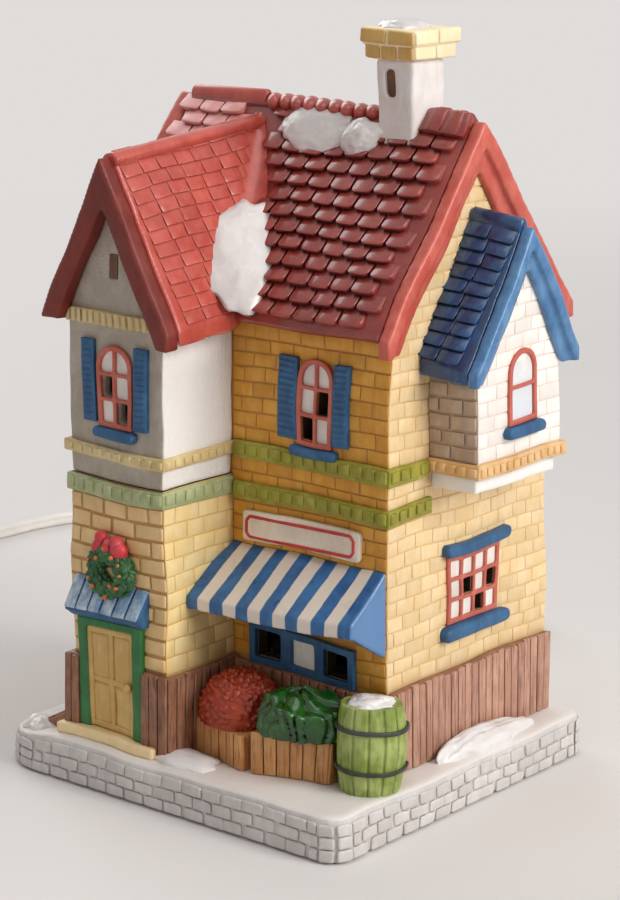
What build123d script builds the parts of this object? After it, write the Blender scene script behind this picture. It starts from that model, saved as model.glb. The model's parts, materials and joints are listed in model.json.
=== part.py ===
from build123d import *
import math
import os

os.makedirs("parts", exist_ok=True)

# Driving dimensions, millimetres. X runs along the house front, Y to the back, Z up.
WALL = 4.0
TRIM = 2.4

# Base plinth, centred on X = Y = 0 until the last section moves the part to its origin
BASE_W = 142.0
BASE_D = 127.0
BASE_H = 14.0
BASE_CORNER = 7.0
BASE_LEFT_CORNER = 18.0
SNOW_MARGIN = 2.2
BASE_LEFT_FALL = 3.8
POUR_RIM = 4.0
HATCH_CLEAR = 3.6

# What stands on the base keeps its share of the base's width and depth
X_SHARE = BASE_W / 142.0
Y_SHARE = BASE_D / 127.0

# Wall planes
MAIN_X0 = -54.0 * X_SHARE
MAIN_X1 = 58.0 * X_SHARE
MAIN_Y0 = -24.0 * Y_SHARE
MAIN_Y1 = 57.0 * Y_SHARE
WING_X0 = -42.0 * X_SHARE
WING_X1 = -3.0 * X_SHARE
WING_Y0 = -55.0 * Y_SHARE
STOREY_Z = 98.0

# Brick courses on the main walls: pitch, and the groove between two of them
COURSE = 4.6
GROOVE_H = 0.6
GROOVE_DEEP = 0.5

# Main roof: ridge, slope (rise over run), vertical thickness, half spans to the eaves
MAIN_RIDGE_Y = 16.5 * Y_SHARE
MAIN_RIDGE_Z = 208.0
MAIN_SLOPE = 1.274
MAIN_ROOF_T = 5.5
MAIN_FRONT_SPAN = 47.2
MAIN_BACK_SPAN = 48.2
MAIN_BARGE_OUT = 4.4
MAIN_BARGE_DEPTH = 16.0

# Tile rows on the main roof: pitch, first row's distance from the eave, rise at a row's two edges
TILE_PITCH = 5.55
TILE_EDGE = 2.4
TILE_LOW_RISE = 1.7
TILE_HIGH_RISE = 0.9
TILE_SIDE = 3.0
VALLEY_CLEAR = 5.6

# Wing roof, whose ridge climbs a little towards the main roof
WING_RIDGE_Z = 197.3
WING_SLOPE = 1.915
WING_ROOF_T = 5.0
WING_SPAN = 26.3
WING_TILT = 4.0
WING_BARGE_OUT = 5.6
WING_BARGE_DEPTH = 14.5
WING_LEFT_EAVE_Z = WING_RIDGE_Z - WING_SLOPE * WING_SPAN - 0.8

# Bay on the right wall and its roof
BAY_Y0 = -4.5 * Y_SHARE
BAY_Y1 = 36.5 * Y_SHARE
BAY_X1 = MAIN_X1 + 18.0
BAY_Z0 = 104.8
BAY_WALL = 3.0
BAY_RIDGE_Z = 178.3
BAY_SLOPE = 1.55
BAY_ROOF_T = 4.5
BAY_SPAN = 26.3
BAY_TILT = 5.0
BAY_BARGE_OUT = 4.0
BAY_BARGE_DEPTH = 13.5

# Bands and wainscot
LOWER_BAND_Z = 91.5
UPPER_BAND_Z = 104.0
BAND_H = 5.4
BAND_OUT = 2.0
WAINSCOT_TOP = 40.0
DENTIL_Z = 145.6
DENTIL_H = 4.2

# Chimney
CHIMNEY_X = 33.5 * X_SHARE
CHIMNEY_W = 13.6
CHIMNEY_D = 16.0
CHIMNEY_TOP = 224.0
CAP_COURSE = 4.4
CAP_OUT = 3.4

# Lamp set: axis height and place, screw base, holder
LAMP_X = 2.0
LAMP_Z = 40.0
LAMP_HOLE_R = 15.0
HOLDER_R = 12.7
HOLDER_LONG = 24.0
FLANGE_R = 17.5
FLANGE_T = 2.5
SCREW_R = 5.85
GLASS_R = 10.0
GLASS_WALL = 0.9
GLASS_LONG = 42.0

# Cord: a flat twin lead, modelled as a tube of its width
CORD_D = 5.2
COIL_FROM_EXIT = (-254.0, -56.5)
COIL_MEAN_R = 31.2
COIL_TURNS = 6.25
COIL_PITCH = 6.0
COIL_LIFT = 1.0

SWITCH_LONG = 40.0
SWITCH_W = 18.0
SWITCH_H = 15.0
SWITCH_AXIS_Z = 5.0

PLUG_LONG = 30.0
PLUG_W = 21.0
PLUG_H = 15.0
BLADE_GAP = 12.7

MAIN_XM = (MAIN_X0 + MAIN_X1) / 2
WING_XM = (WING_X0 + WING_X1) / 2
BAY_YM = (BAY_Y0 + BAY_Y1) / 2
FAR = 400.0


# Shape helpers
def block(x0, x1, y0, y1, z0, z1):
    return Pos((x0 + x1) / 2, (y0 + y1) / 2, (z0 + z1) / 2) * Box(x1 - x0, y1 - y0, z1 - z0)


def prism_x(points, x0, x1):
    """Closed outline of (y, z) points, from x0 to x1."""
    outline = Polyline(*[(x0, y, z) for y, z in points], close=True)
    return extrude(make_face(outline), x1 - x0, dir=(1, 0, 0))


def prism_y(points, y0, y1):
    """Closed outline of (x, z) points, from y0 to y1."""
    outline = Polyline(*[(x, y0, z) for x, z in points], close=True)
    return extrude(make_face(outline), y1 - y0, dir=(0, 1, 0))


def prism_z(points, z0, z1):
    """Closed outline of (x, y) points, from z0 to z1."""
    outline = Polyline(*[(x, y, z0) for x, y in points], close=True)
    return extrude(make_face(outline), z1 - z0, dir=(0, 0, 1))


def front_plane(x, y, z):
    """A plane on a front wall: local X along the house, local Y up, normal towards the viewer."""
    return Plane(origin=(x, y, z), x_dir=(1, 0, 0), z_dir=(0, -1, 0))


def side_plane(x, y, z):
    """A plane on the right wall: local X towards the back, local Y up, normal to the right."""
    return Plane(origin=(x, y, z), x_dir=(0, 1, 0), z_dir=(1, 0, 0))


def gable(middle, ridge, slope, left, right, depth):
    """Outline of an inverted V whose legs are depth high, measured upright."""
    top = [(middle - left, ridge - slope * left), (middle, ridge), (middle + right, ridge - slope * right)]
    under = [(a, b - depth) for a, b in reversed(top)]
    return top + under


def under_gable(middle, ridge, slope, half, floor):
    """Outline of everything below a pair of slopes, down to floor."""
    low = ridge - slope * half
    left = [(middle - half, floor), (middle - half, low)]
    return [*left, (middle, ridge), (middle + half, low), (middle + half, floor)]


def cap(x, y, z, radius, height):
    """A low dome that stands on the level z."""
    ball = (radius**2 + height**2) / (2 * height)
    dome = Pos(x, y, z + height - ball) * Sphere(ball)
    return dome & block(x - FAR, x + FAR, y - FAR, y + FAR, z, z + FAR)


def egg(centre, way, length, radius):
    """A solid egg along the direction way, made by turning half an ellipse."""
    half = Ellipse(radius, length / 2) & Pos(radius, 0) * Rectangle(2 * radius, 2 * length)
    return Plane(origin=centre, z_dir=way) * revolve(Plane.XZ * half, Axis.Z)


def group(*shapes):
    """Several solids that share one node."""
    solids = []
    for shape in shapes:
        solids.extend(shape.solids())
    return Compound(solids)


# Space under the roofs, which trims the walls, the chimney and the snow
def wing_tilted(shape):
    pivot = (WING_Y0 - WING_BARGE_OUT, WING_RIDGE_Z)
    return Pos(0, pivot[0], pivot[1]) * Rot(X=WING_TILT) * Pos(0, -pivot[0], -pivot[1]) * shape


def bay_tilted(shape):
    pivot = (BAY_X1 + BAY_BARGE_OUT, BAY_RIDGE_Z)
    return Pos(pivot[0], 0, pivot[1]) * Rot(Y=BAY_TILT) * Pos(-pivot[0], 0, -pivot[1]) * shape


main_outside = prism_x(under_gable(MAIN_RIDGE_Y, MAIN_RIDGE_Z, MAIN_SLOPE, 90, -50), -FAR, FAR)
main_inside = prism_x(
    under_gable(MAIN_RIDGE_Y, MAIN_RIDGE_Z - MAIN_ROOF_T, MAIN_SLOPE, 90, -50), -FAR, FAR
)
before_ridge = block(-FAR, FAR, -FAR, MAIN_RIDGE_Y, -FAR, FAR)
wing_outside = before_ridge & wing_tilted(
    prism_y(under_gable(WING_XM, WING_RIDGE_Z, WING_SLOPE, WING_SPAN, -50), -120, 90)
)
wing_inside = wing_tilted(
    prism_y(under_gable(WING_XM, WING_RIDGE_Z - WING_ROOF_T, WING_SLOPE, 60, -50), -120, 90)
)
bay_inside = bay_tilted(
    prism_x(under_gable(BAY_YM, BAY_RIDGE_Z - BAY_ROOF_T, BAY_SLOPE, 60, -50), -50, 120)
)


# Base
def base_plinth():
    slab = block(-BASE_W / 2, BASE_W / 2, -BASE_D / 2, BASE_D / 2, 0, BASE_H)
    upright = slab.edges().filter_by(Axis.Z)
    left_front = upright.sort_by(lambda e: e.center().X + e.center().Y)[0]
    others = [e for e in upright if e is not left_front]
    slab = fillet(others, BASE_CORNER)
    left_front = slab.edges().filter_by(Axis.Z).sort_by(lambda e: e.center().X + e.center().Y)[0]
    slab = fillet(left_front, BASE_LEFT_CORNER)
    slab = fillet(slab.faces().sort_by(Axis.Z)[-1].edges(), 2.0)
    left = WING_X0 - TRIM
    edge = -BASE_W / 2 - 1
    fall = [(left, BASE_H), (edge, BASE_H - BASE_LEFT_FALL), (edge, BASE_H + 1), (left, BASE_H + 1)]
    slab -= prism_y(fall, -BASE_D, MAIN_Y0 - TRIM)
    inset = WALL + POUR_RIM
    pour = block(MAIN_X0 + inset, MAIN_X1 - inset, MAIN_Y0 + inset, MAIN_Y1 - inset, -1, BASE_H + 1)
    return slab - pour


# Windows: where each stands, and which panes are open through the wall
class Window:
    """A framed window on a wall plane, with a round head where arched."""

    def __init__(self, plane, wide, high, columns, rows, arched, open_panes, bar=1.1, rim=1.6):
        self.plane = plane
        self.wide = wide
        self.high = high
        self.columns = columns
        self.rows = rows
        self.arched = arched
        self.open_panes = open_panes
        self.bar = bar
        self.rim = rim

    def outline(self, inset):
        half = self.wide / 2 - inset
        if not self.arched:
            return Pos(0, self.high / 2) * Rectangle(2 * half, self.high - 2 * inset)
        spring = self.high - self.wide / 2
        foot = Pos(0, (spring + inset) / 2) * Rectangle(2 * half, spring - inset)
        return foot + Pos(0, spring) * Circle(half)

    def pane(self, column, row):
        """Pane at a column from the left and a row from the foot."""
        clear_w = self.wide - 2 * self.rim
        clear_h = self.high - 2 * self.rim
        step_x = (clear_w + self.bar) / self.columns
        step_y = (clear_h + self.bar) / self.rows
        x = -self.wide / 2 + self.rim + step_x * (column + 0.5) - self.bar / 2
        y = self.rim + step_y * (row + 0.5) - self.bar / 2
        return Pos(x, y) * Rectangle(step_x - self.bar, step_y - self.bar) & self.outline(self.rim)

    def frame(self, deep=1.5):
        face = self.outline(0)
        for column in range(self.columns):
            for row in range(self.rows):
                face -= self.pane(column, row)
        return extrude(self.plane * face, deep)

    def holes(self):
        """Cutters for the open panes, through the wall behind the frame."""
        cut = Part()
        for column, row in self.open_panes:
            cut += extrude(self.plane * self.pane(column, row), -(WALL + 1))
        return cut


WING_WINDOW_X = -22.0 * X_SHARE
MAIN_WINDOW_X = 30.9 * X_SHARE
SHOP_X = 26.0 * X_SHARE
BAY_WINDOW_Y = 17.0 * Y_SHARE
SIDE_WINDOW_Y = 17.6 * Y_SHARE
wing_window = Window(front_plane(WING_WINDOW_X, WING_Y0, 115.2), 13.8, 24.8, 2, 3, True, [(0, 1), (1, 0)])
main_window = Window(front_plane(MAIN_WINDOW_X, MAIN_Y0, 111.6), 14.2, 26.4, 2, 3, True, [(1, 1), (0, 0)])
bay_window = Window(side_plane(BAY_X1, BAY_WINDOW_Y, 118.6), 14.0, 22.0, 1, 2, True, [])
side_window = Window(
    side_plane(MAIN_X1, SIDE_WINDOW_Y, 53.6), 26.6, 22.4, 4, 3, False, [(1, 1), (3, 1), (2, 0)], bar=1.3
)
shop_window = Window(
    front_plane(SHOP_X, MAIN_Y0, 38.8), 42.4, 13.0, 3, 1, False, [(0, 0), (2, 0)], bar=4.0, rim=2.2
)


# Walls
def course_grooves():
    """Level grooves between the brick courses, all round and, below the wainscot's top, on the back only."""
    skin = block(MAIN_X0 - 1, MAIN_X1 + 1, MAIN_Y0 - 1, MAIN_Y1 + 1, BASE_H, FAR)
    skin -= block(
        MAIN_X0 + GROOVE_DEEP, MAIN_X1 - GROOVE_DEEP, MAIN_Y0 + GROOVE_DEEP, MAIN_Y1 - GROOVE_DEEP, 0, FAR
    )
    back_skin = skin & block(-FAR, FAR, MAIN_Y1 - GROOVE_DEEP, FAR, 0, FAR)
    above = int((MAIN_RIDGE_Z - WAINSCOT_TOP) / COURSE)
    below = int((WAINSCOT_TOP - BASE_H) / COURSE)
    grooves = []
    for course in range(-below, above):
        z = WAINSCOT_TOP + COURSE * course
        level = block(-FAR, FAR, -FAR, FAR, z - GROOVE_H / 2, z + GROOVE_H / 2)
        grooves.append(level & (skin if course > 0 else back_skin))
    return grooves


def main_walls():
    walls = block(MAIN_X0, MAIN_X1, MAIN_Y0, MAIN_Y1, BASE_H, FAR) & main_inside
    walls -= block(MAIN_X0 + WALL, MAIN_X1 - WALL, MAIN_Y0 + WALL, MAIN_Y1 - WALL, 0, FAR)
    walls -= block(WING_X0 + WALL, WING_X1 - WALL, MAIN_Y0 - 1, MAIN_Y0 + WALL + 1, 20, 140)
    walls -= block(MAIN_X1 - WALL - 1, MAIN_X1 + 1, BAY_Y0 + 5, BAY_Y1 - 5, BAY_Z0 + 4, 150)
    walls -= Pos(LAMP_X, MAIN_Y1, LAMP_Z) * Rot(X=90) * Cylinder(LAMP_HOLE_R, 4 * WALL)
    walls -= course_grooves()
    return walls - main_window.holes() - side_window.holes() - shop_window.holes()


def wing_box(z0, z1):
    outside = block(WING_X0, WING_X1, WING_Y0, MAIN_Y0, z0, z1)
    return outside - block(WING_X0 + WALL, WING_X1 - WALL, WING_Y0 + WALL, MAIN_Y0 + 1, z0 - 1, z1 + 1)


def wing_ground_walls():
    return wing_box(BASE_H, STOREY_Z)


def wing_upper_walls():
    walls = wing_box(STOREY_Z, FAR) & wing_inside
    slot = extrude(front_plane(WING_WINDOW_X, WING_Y0, 164.3) * Rectangle(3.0, 8.0), -1.5)
    return walls - slot - wing_window.holes()


def bay_walls():
    outside = block(MAIN_X1, BAY_X1, BAY_Y0, BAY_Y1, BAY_Z0, FAR) & bay_inside
    hollow = block(
        MAIN_X1 - 1, BAY_X1 - BAY_WALL, BAY_Y0 + BAY_WALL, BAY_Y1 - BAY_WALL, BAY_Z0 + BAY_WALL, FAR
    )
    return outside - hollow


def bay_corbel():
    return block(MAIN_X1, BAY_X1 - 0.8, BAY_Y0 + 0.8, BAY_Y1 - 0.8, BAY_Z0 - 5.2, BAY_Z0)


# Roofs and barge boards
def main_slope_z(y):
    """Height of the main roof's plane."""
    return MAIN_RIDGE_Z - MAIN_SLOPE * abs(MAIN_RIDGE_Y - y)


def valley_x(y, hand):
    """Where the wing's roof meets the main front slope, on its right (1) or its left (-1)."""
    ridge = WING_RIDGE_Z + math.tan(math.radians(WING_TILT)) * (y - WING_Y0 + WING_BARGE_OUT)
    return WING_XM + hand * max(ridge - main_slope_z(y), 0) / WING_SLOPE


def tile_row(side, row, x0, x1):
    """One row of tiles, thicker at its lower edge, on the front (-1) or the back slope (1)."""
    span = MAIN_FRONT_SPAN if side < 0 else MAIN_BACK_SPAN
    run = math.hypot(1, MAIN_SLOPE)

    def on_slope(up, rise):
        away = span - up / run
        y = MAIN_RIDGE_Y + side * (away + rise * MAIN_SLOPE / run)
        return y, MAIN_RIDGE_Z - MAIN_SLOPE * away + rise / run

    low = TILE_EDGE + TILE_PITCH * row
    high = low + TILE_PITCH
    sunk = -0.5
    lower_edge = [on_slope(low, sunk), on_slope(low, TILE_LOW_RISE)]
    upper_edge = [on_slope(high, TILE_HIGH_RISE), on_slope(high, sunk)]
    return prism_x(lower_edge + upper_edge, x0, x1)


def tile_count(span):
    """How many whole rows fit between an eave and the ridge."""
    return int((span * math.hypot(1, MAIN_SLOPE) - TILE_EDGE) / TILE_PITCH)


def tile_rows():
    rows = []
    run = math.hypot(1, MAIN_SLOPE)
    for row in range(tile_count(MAIN_BACK_SPAN)):
        rows.append(tile_row(1, row, MAIN_X0 + TILE_SIDE, MAIN_X1 - TILE_SIDE))
    for row in range(tile_count(MAIN_FRONT_SPAN)):
        y = MAIN_RIDGE_Y - MAIN_FRONT_SPAN + (TILE_EDGE + TILE_PITCH * row) / run
        left_end = valley_x(y, -1) - VALLEY_CLEAR
        rows.append(tile_row(-1, row, valley_x(y, 1) + VALLEY_CLEAR, MAIN_X1 - TILE_SIDE))
        if left_end > MAIN_X0 + 2 * TILE_SIDE:
            rows.append(tile_row(-1, row, MAIN_X0 + TILE_SIDE, left_end))
    return rows


def main_roof():
    slab = prism_x(
        gable(MAIN_RIDGE_Y, MAIN_RIDGE_Z, MAIN_SLOPE, MAIN_FRONT_SPAN, MAIN_BACK_SPAN, MAIN_ROOF_T),
        MAIN_X0,
        MAIN_X1,
    )
    rows = Part() + tile_rows() - chimney_block() - snow_on_roof(0.4)
    return slab - wing_outside + rows


def under_left_eave():
    """What the left eave of the wing is trimmed by, which ends thinner than the right one."""
    return block(-FAR, WING_X0, -FAR, MAIN_Y0, 0, WING_LEFT_EAVE_Z)


def wing_roof():
    slab = wing_tilted(
        prism_y(gable(WING_XM, WING_RIDGE_Z, WING_SLOPE, WING_SPAN, WING_SPAN, WING_ROOF_T), -90, 60)
    )
    slab &= block(-FAR, FAR, WING_Y0, MAIN_RIDGE_Y, 0, FAR)
    return slab - main_inside - under_left_eave()


def bay_roof():
    slab = bay_tilted(prism_x(gable(BAY_YM, BAY_RIDGE_Z, BAY_SLOPE, BAY_SPAN, BAY_SPAN, BAY_ROOF_T), 20, 110))
    return slab & block(MAIN_X1, BAY_X1, -FAR, FAR, 0, FAR)


def stepped_barge(start, out, outline_of, ridge_y, eaves):
    """Two boards, one on the other, a deep inner and a shallow outer one, cut level at each eave."""
    middle = start + 0.55 * out
    boards = outline_of(1.0, start, middle) + outline_of(0.52, middle, start + out)
    front_eave, back_eave = eaves
    kept = block(-FAR, FAR, -FAR, ridge_y, front_eave, FAR) + block(-FAR, FAR, ridge_y, FAR, back_eave, FAR)
    return boards & kept


def main_barge_boards():
    def board(share, x0, x1):
        outline = gable(
            MAIN_RIDGE_Y, MAIN_RIDGE_Z, MAIN_SLOPE, MAIN_FRONT_SPAN, MAIN_BACK_SPAN, share * MAIN_BARGE_DEPTH
        )
        return prism_x(outline, min(x0, x1), max(x0, x1))

    eaves = [MAIN_RIDGE_Z - MAIN_SLOPE * span - MAIN_ROOF_T for span in (MAIN_FRONT_SPAN, MAIN_BACK_SPAN)]
    right = stepped_barge(MAIN_X1, MAIN_BARGE_OUT, board, MAIN_RIDGE_Y, eaves)
    left = stepped_barge(MAIN_X0, -1.4 * MAIN_BARGE_OUT, board, MAIN_RIDGE_Y, eaves)
    return group(right, left)


def wing_barge_boards():
    outline = gable(WING_XM, WING_RIDGE_Z, WING_SLOPE, WING_SPAN, WING_SPAN, WING_BARGE_DEPTH)
    eave = WING_RIDGE_Z - WING_SLOPE * WING_SPAN - WING_ROOF_T
    boards = prism_y(outline, WING_Y0 - WING_BARGE_OUT, WING_Y0) & block(-FAR, FAR, -FAR, FAR, eave, FAR)
    return boards - under_left_eave()


def bay_barge_boards():
    def board(share, x0, x1):
        outline = gable(BAY_YM, BAY_RIDGE_Z, BAY_SLOPE, BAY_SPAN, BAY_SPAN, share * BAY_BARGE_DEPTH)
        return prism_x(outline, x0, x1)

    eave = BAY_RIDGE_Z - BAY_SLOPE * BAY_SPAN - BAY_ROOF_T
    return stepped_barge(BAY_X1, BAY_BARGE_OUT, board, BAY_YM, (eave, eave))


# Bands and wainscot, each a strip that follows the walls
def corner_strip(x0, x1, y0, y1, out, z0, z1):
    """A strip on a front wall from x0 to x1 and on the wall to its right from y0 to y1."""
    return block(x0, x1 + out, y0 - out, y0, z0, z1) + block(x1, x1 + out, y0, y1, z0, z1)


def main_bands():
    start = WING_X1 + BAND_OUT
    low, high = LOWER_BAND_Z, UPPER_BAND_Z
    lower = corner_strip(start, MAIN_X1, MAIN_Y0, BAY_Y0, BAND_OUT, low, low + BAND_H)
    upper = corner_strip(start, MAIN_X1, MAIN_Y0, BAY_Y0 - 2, BAND_OUT, high, high + BAND_H)
    return group(lower, upper)


def wing_band(z0, z1, out):
    strip = corner_strip(WING_X0, WING_X1, WING_Y0, MAIN_Y0, out, z0, z1)
    return strip + block(WING_X0 - out, WING_X0, WING_Y0 - out, MAIN_Y0, z0, z1)


def wing_dentil():
    """Small blocks under the gable, joined by a fillet strip."""
    strip = block(WING_X0, WING_X1, WING_Y0 - 0.9, WING_Y0, DENTIL_Z, DENTIL_Z + DENTIL_H)
    count = 15
    step = (WING_X1 - WING_X0) / count
    for i in range(count):
        x = WING_X0 + step * (i + 0.5)
        half = 0.32 * step
        strip += block(x - half, x + half, WING_Y0 - 1.8, WING_Y0 - 0.9, DENTIL_Z, DENTIL_Z + DENTIL_H)
    boards = gable(WING_XM, WING_RIDGE_Z, WING_SLOPE, 30, 30, WING_BARGE_DEPTH)
    return strip - prism_y(boards, WING_Y0 - 9, WING_Y0)


def bay_band():
    z0 = BAY_Z0 - 0.2
    outer = block(MAIN_X1, BAY_X1 + 1.6, BAY_Y0 - 1.6, BAY_Y1 + 1.6, BAY_Z0, z0 + 4.9)
    return outer - block(MAIN_X1 - 1, BAY_X1, BAY_Y0, BAY_Y1, 0, FAR)


DOOR_X0 = -38.0 * X_SHARE
DOOR_X1 = -11.2 * X_SHARE


def wainscot():
    low = BASE_H
    top = WAINSCOT_TOP
    shop_sill = 38.8
    pieces = [
        block(WING_X0 - TRIM, DOOR_X0, WING_Y0 - TRIM, WING_Y0, low, top),
        block(DOOR_X1, WING_X1 + TRIM, WING_Y0 - TRIM, WING_Y0, low, top),
        block(WING_X1, WING_X1 + TRIM, WING_Y0, MAIN_Y0, low, top),
        block(WING_X0 - TRIM, WING_X0, WING_Y0, MAIN_Y0, low, top),
        block(WING_X1 + TRIM, MAIN_X1 + TRIM, MAIN_Y0 - TRIM, MAIN_Y0, low, shop_sill),
        block(MAIN_X1, MAIN_X1 + TRIM, MAIN_Y0, MAIN_Y1, low, top),
        block(MAIN_X0 - TRIM, WING_X0 - TRIM, MAIN_Y0 - TRIM, MAIN_Y0, low, top),
        block(MAIN_X0 - TRIM, MAIN_X0, MAIN_Y0, MAIN_Y1, low, top),
    ]
    whole = pieces[0] + pieces[3] + pieces[6] + pieces[7]
    return group(whole, pieces[1] + pieces[2] + pieces[4] + pieces[5])


# Chimney
def chimney_block():
    half_w = CHIMNEY_W / 2
    y0 = MAIN_RIDGE_Y - CHIMNEY_D / 2
    return block(CHIMNEY_X - half_w, CHIMNEY_X + half_w, y0, y0 + CHIMNEY_D, MAIN_RIDGE_Z - 40, CHIMNEY_TOP)


def chimney_stack():
    y0 = MAIN_RIDGE_Y - CHIMNEY_D / 2
    arch = Rectangle(2.6, 6.0) + Pos(0, 3.0) * Circle(1.3)
    slot = extrude(front_plane(CHIMNEY_X - 1.6, y0, CHIMNEY_TOP - 7.5) * arch, -3.0)
    return chimney_block() - main_outside - slot


def chimney_cap():
    lower = Pos(CHIMNEY_X, MAIN_RIDGE_Y, CHIMNEY_TOP + CAP_COURSE / 2) * Box(
        CHIMNEY_W + 1.3 * CAP_OUT, CHIMNEY_D + 1.3 * CAP_OUT, CAP_COURSE
    )
    upper = Pos(CHIMNEY_X, MAIN_RIDGE_Y, CHIMNEY_TOP + 1.5 * CAP_COURSE) * Box(
        CHIMNEY_W + 2 * CAP_OUT, CHIMNEY_D + 2 * CAP_OUT, CAP_COURSE
    )
    return lower + upper


# Shop front
AWNING_TOP = 77.4
AWNING_LEFT = (MAIN_Y0 - 22.4, 63.3)
AWNING_RIGHT = (MAIN_Y0 - 17.5, 64.6)
SIGN_X = 25.7 * X_SHARE
VALANCE = 4.4
AWNING_T = 2.6


def awning():
    def section(x, front):
        y, z = front
        points = [
            (MAIN_Y0, AWNING_TOP),
            (y, z),
            (y, z - VALANCE),
            (y + 2.0, z - VALANCE),
            (y + 2.0, z - AWNING_T + 0.6),
            (MAIN_Y0, AWNING_TOP - AWNING_T - 1.0),
        ]
        return make_face(Polyline(*[(x, a, b) for a, b in points], close=True))

    roof = loft([section(WING_X1, AWNING_LEFT), section(MAIN_X1, AWNING_RIGHT)], ruled=True)
    y, z = AWNING_RIGHT
    outline = [(MAIN_Y0, AWNING_TOP - 2), (y + 1.2, z - 1.4), (y + 1.2, z - VALANCE), (MAIN_Y0, 50.8)]
    return roof + prism_x(outline, MAIN_X1 - 1.6, MAIN_X1)


def sign_board():
    board = extrude(front_plane(SIGN_X, MAIN_Y0, 83.6) * RectangleRounded(45.8, 9.6, 1.2), 2.2)
    border = RectangleRounded(42.0, 7.0, 2.2) - RectangleRounded(40.6, 5.6, 1.6)
    return board + extrude(front_plane(SIGN_X, MAIN_Y0 - 2.2, 83.6) * border, 0.4)


# Sills, lintel and shutters
def rounded_bar(plane, long, high, deep):
    bar = extrude(plane * RectangleRounded(long, high, 0.45 * high), deep)
    return fillet(bar.faces().sort_by(lambda f: f.center().dot(plane.z_dir))[-1].edges(), 0.3 * high)


def window_sills():
    return group(
        rounded_bar(front_plane(WING_WINDOW_X, WING_Y0, 113.4), 17.6, 3.4, 3.0),
        rounded_bar(front_plane(MAIN_WINDOW_X, MAIN_Y0, 111.6 - 0.15 - 1.6), 19.0, 3.2, 3.0) - main_bands(),
        rounded_bar(side_plane(BAY_X1, BAY_WINDOW_Y, 116.7), 18.4, 3.6, 3.2),
    )


def side_window_trim():
    return group(
        rounded_bar(side_plane(MAIN_X1, SIDE_WINDOW_Y + 0.8, 78.2), 32.4, 4.2, 3.4),
        rounded_bar(side_plane(MAIN_X1, SIDE_WINDOW_Y + 0.8, 51.2), 33.8, 4.6, 3.8),
    )


def shutter(plane, wide, high, louvres=12):
    """A plate with a sloped head and louvre bars on its face."""
    plate = Pos(0, high / 2) * Rectangle(wide, high)
    body = extrude(plane * plate, 1.6)
    step = (high - 2.4) / louvres
    for i in range(louvres):
        bar = Pos(0, 1.2 + step * (i + 0.5)) * Rectangle(wide - 1.6, 0.55 * step)
        body += extrude(plane * bar, 2.1)
    return body


def wing_shutters():
    left = shutter(front_plane(WING_WINDOW_X - 10.4, WING_Y0, 116.2), 5.4, 24.8)
    right = shutter(front_plane(WING_WINDOW_X + 10.4, WING_Y0, 115.8), 5.4, 24.6)
    return group(left, right)


def main_shutters():
    left = shutter(front_plane(MAIN_WINDOW_X - 10.8, MAIN_Y0, 112.6), 7.2, 24.9)
    right = shutter(front_plane(MAIN_WINDOW_X + 10.2, MAIN_Y0, 112.8), 6.0, 24.3)
    return group(left, right)


# Door
DOOR_STEP_Z = 17.4
DOOR_TOP = 53.6


def door():
    wide = DOOR_X1 - DOOR_X0 - 8.0
    middle = (DOOR_X0 + DOOR_X1) / 2
    leaf = block(middle - wide / 2, middle + wide / 2, WING_Y0 - 1.0, WING_Y0, DOOR_STEP_Z, DOOR_TOP - 2.6)
    for side in (-1, 1):
        for z, high in ((DOOR_STEP_Z + 8.5, 12.0), (DOOR_STEP_Z + 24.0, 14.0)):
            x = middle + side * 0.25 * wide
            leaf += block(x - 3.1, x + 3.1, WING_Y0 - 1.7, WING_Y0 - 1.0, z - high / 2, z + high / 2)
    knob = Pos(middle + 0.4 * wide, WING_Y0 - 1.6, DOOR_STEP_Z + 16.2) * Rot(X=90) * Cylinder(0.8, 1.4)
    return leaf + knob


def door_frame():
    outer = block(DOOR_X0, DOOR_X1, WING_Y0 - 2.6, WING_Y0, DOOR_STEP_Z, DOOR_TOP)
    return outer - block(DOOR_X0 + 4.0, DOOR_X1 - 4.0, -FAR, FAR, 0, DOOR_TOP - 2.6)


def door_step():
    return block(DOOR_X0 - 7.6, DOOR_X1 + 6.6, WING_Y0 - 5.2, WING_Y0, BASE_H, DOOR_STEP_Z) - wainscot()


def door_canopy():
    outline = [
        (WING_Y0, 66.4),
        (WING_Y0 - 5.4, 58.0),
        (WING_Y0 - 5.4, 56.0),
        (WING_Y0 - 2.6, DOOR_TOP),
        (WING_Y0, DOOR_TOP),
    ]
    return prism_x(outline, DOOR_X0 - 2.0, DOOR_X1 + 1.6)


# Wreath, bow, crates, barrel and hatch
WREATH_AT = ((DOOR_X0 + DOOR_X1) / 2 + 1.8, WING_Y0 - 2.4, 70.3)


def wreath():
    ring = Pos(*WREATH_AT) * Rot(X=90) * Torus(5.7, 3.3)
    return ring - block(-FAR, FAR, WING_Y0, FAR, 0, FAR) - door_canopy()


def wreath_bow():
    x, y, z = WREATH_AT
    bow = Pos(x - 3.9, y - 0.6, z + 8.4) * Sphere(3.3)
    bow += Pos(x + 3.9, y - 0.6, z + 8.0) * Sphere(3.3)
    bow += Pos(x, y - 1.2, z + 7.6) * Sphere(2.6)
    bow += Pos(x, y - 0.4, z + 9.6) * Sphere(2.4)
    return bow - block(-FAR, FAR, WING_Y0, FAR, 0, FAR) - wreath()


BARREL_AT = (BASE_W / 2 - 10.4, -BASE_D / 2 + 28.7)
BARREL_R = 10.8
BARREL_H = 26.4
CRATE_BACK = MAIN_Y0 - TRIM
CRATE_SPLIT = 24.6 * X_SHARE


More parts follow.
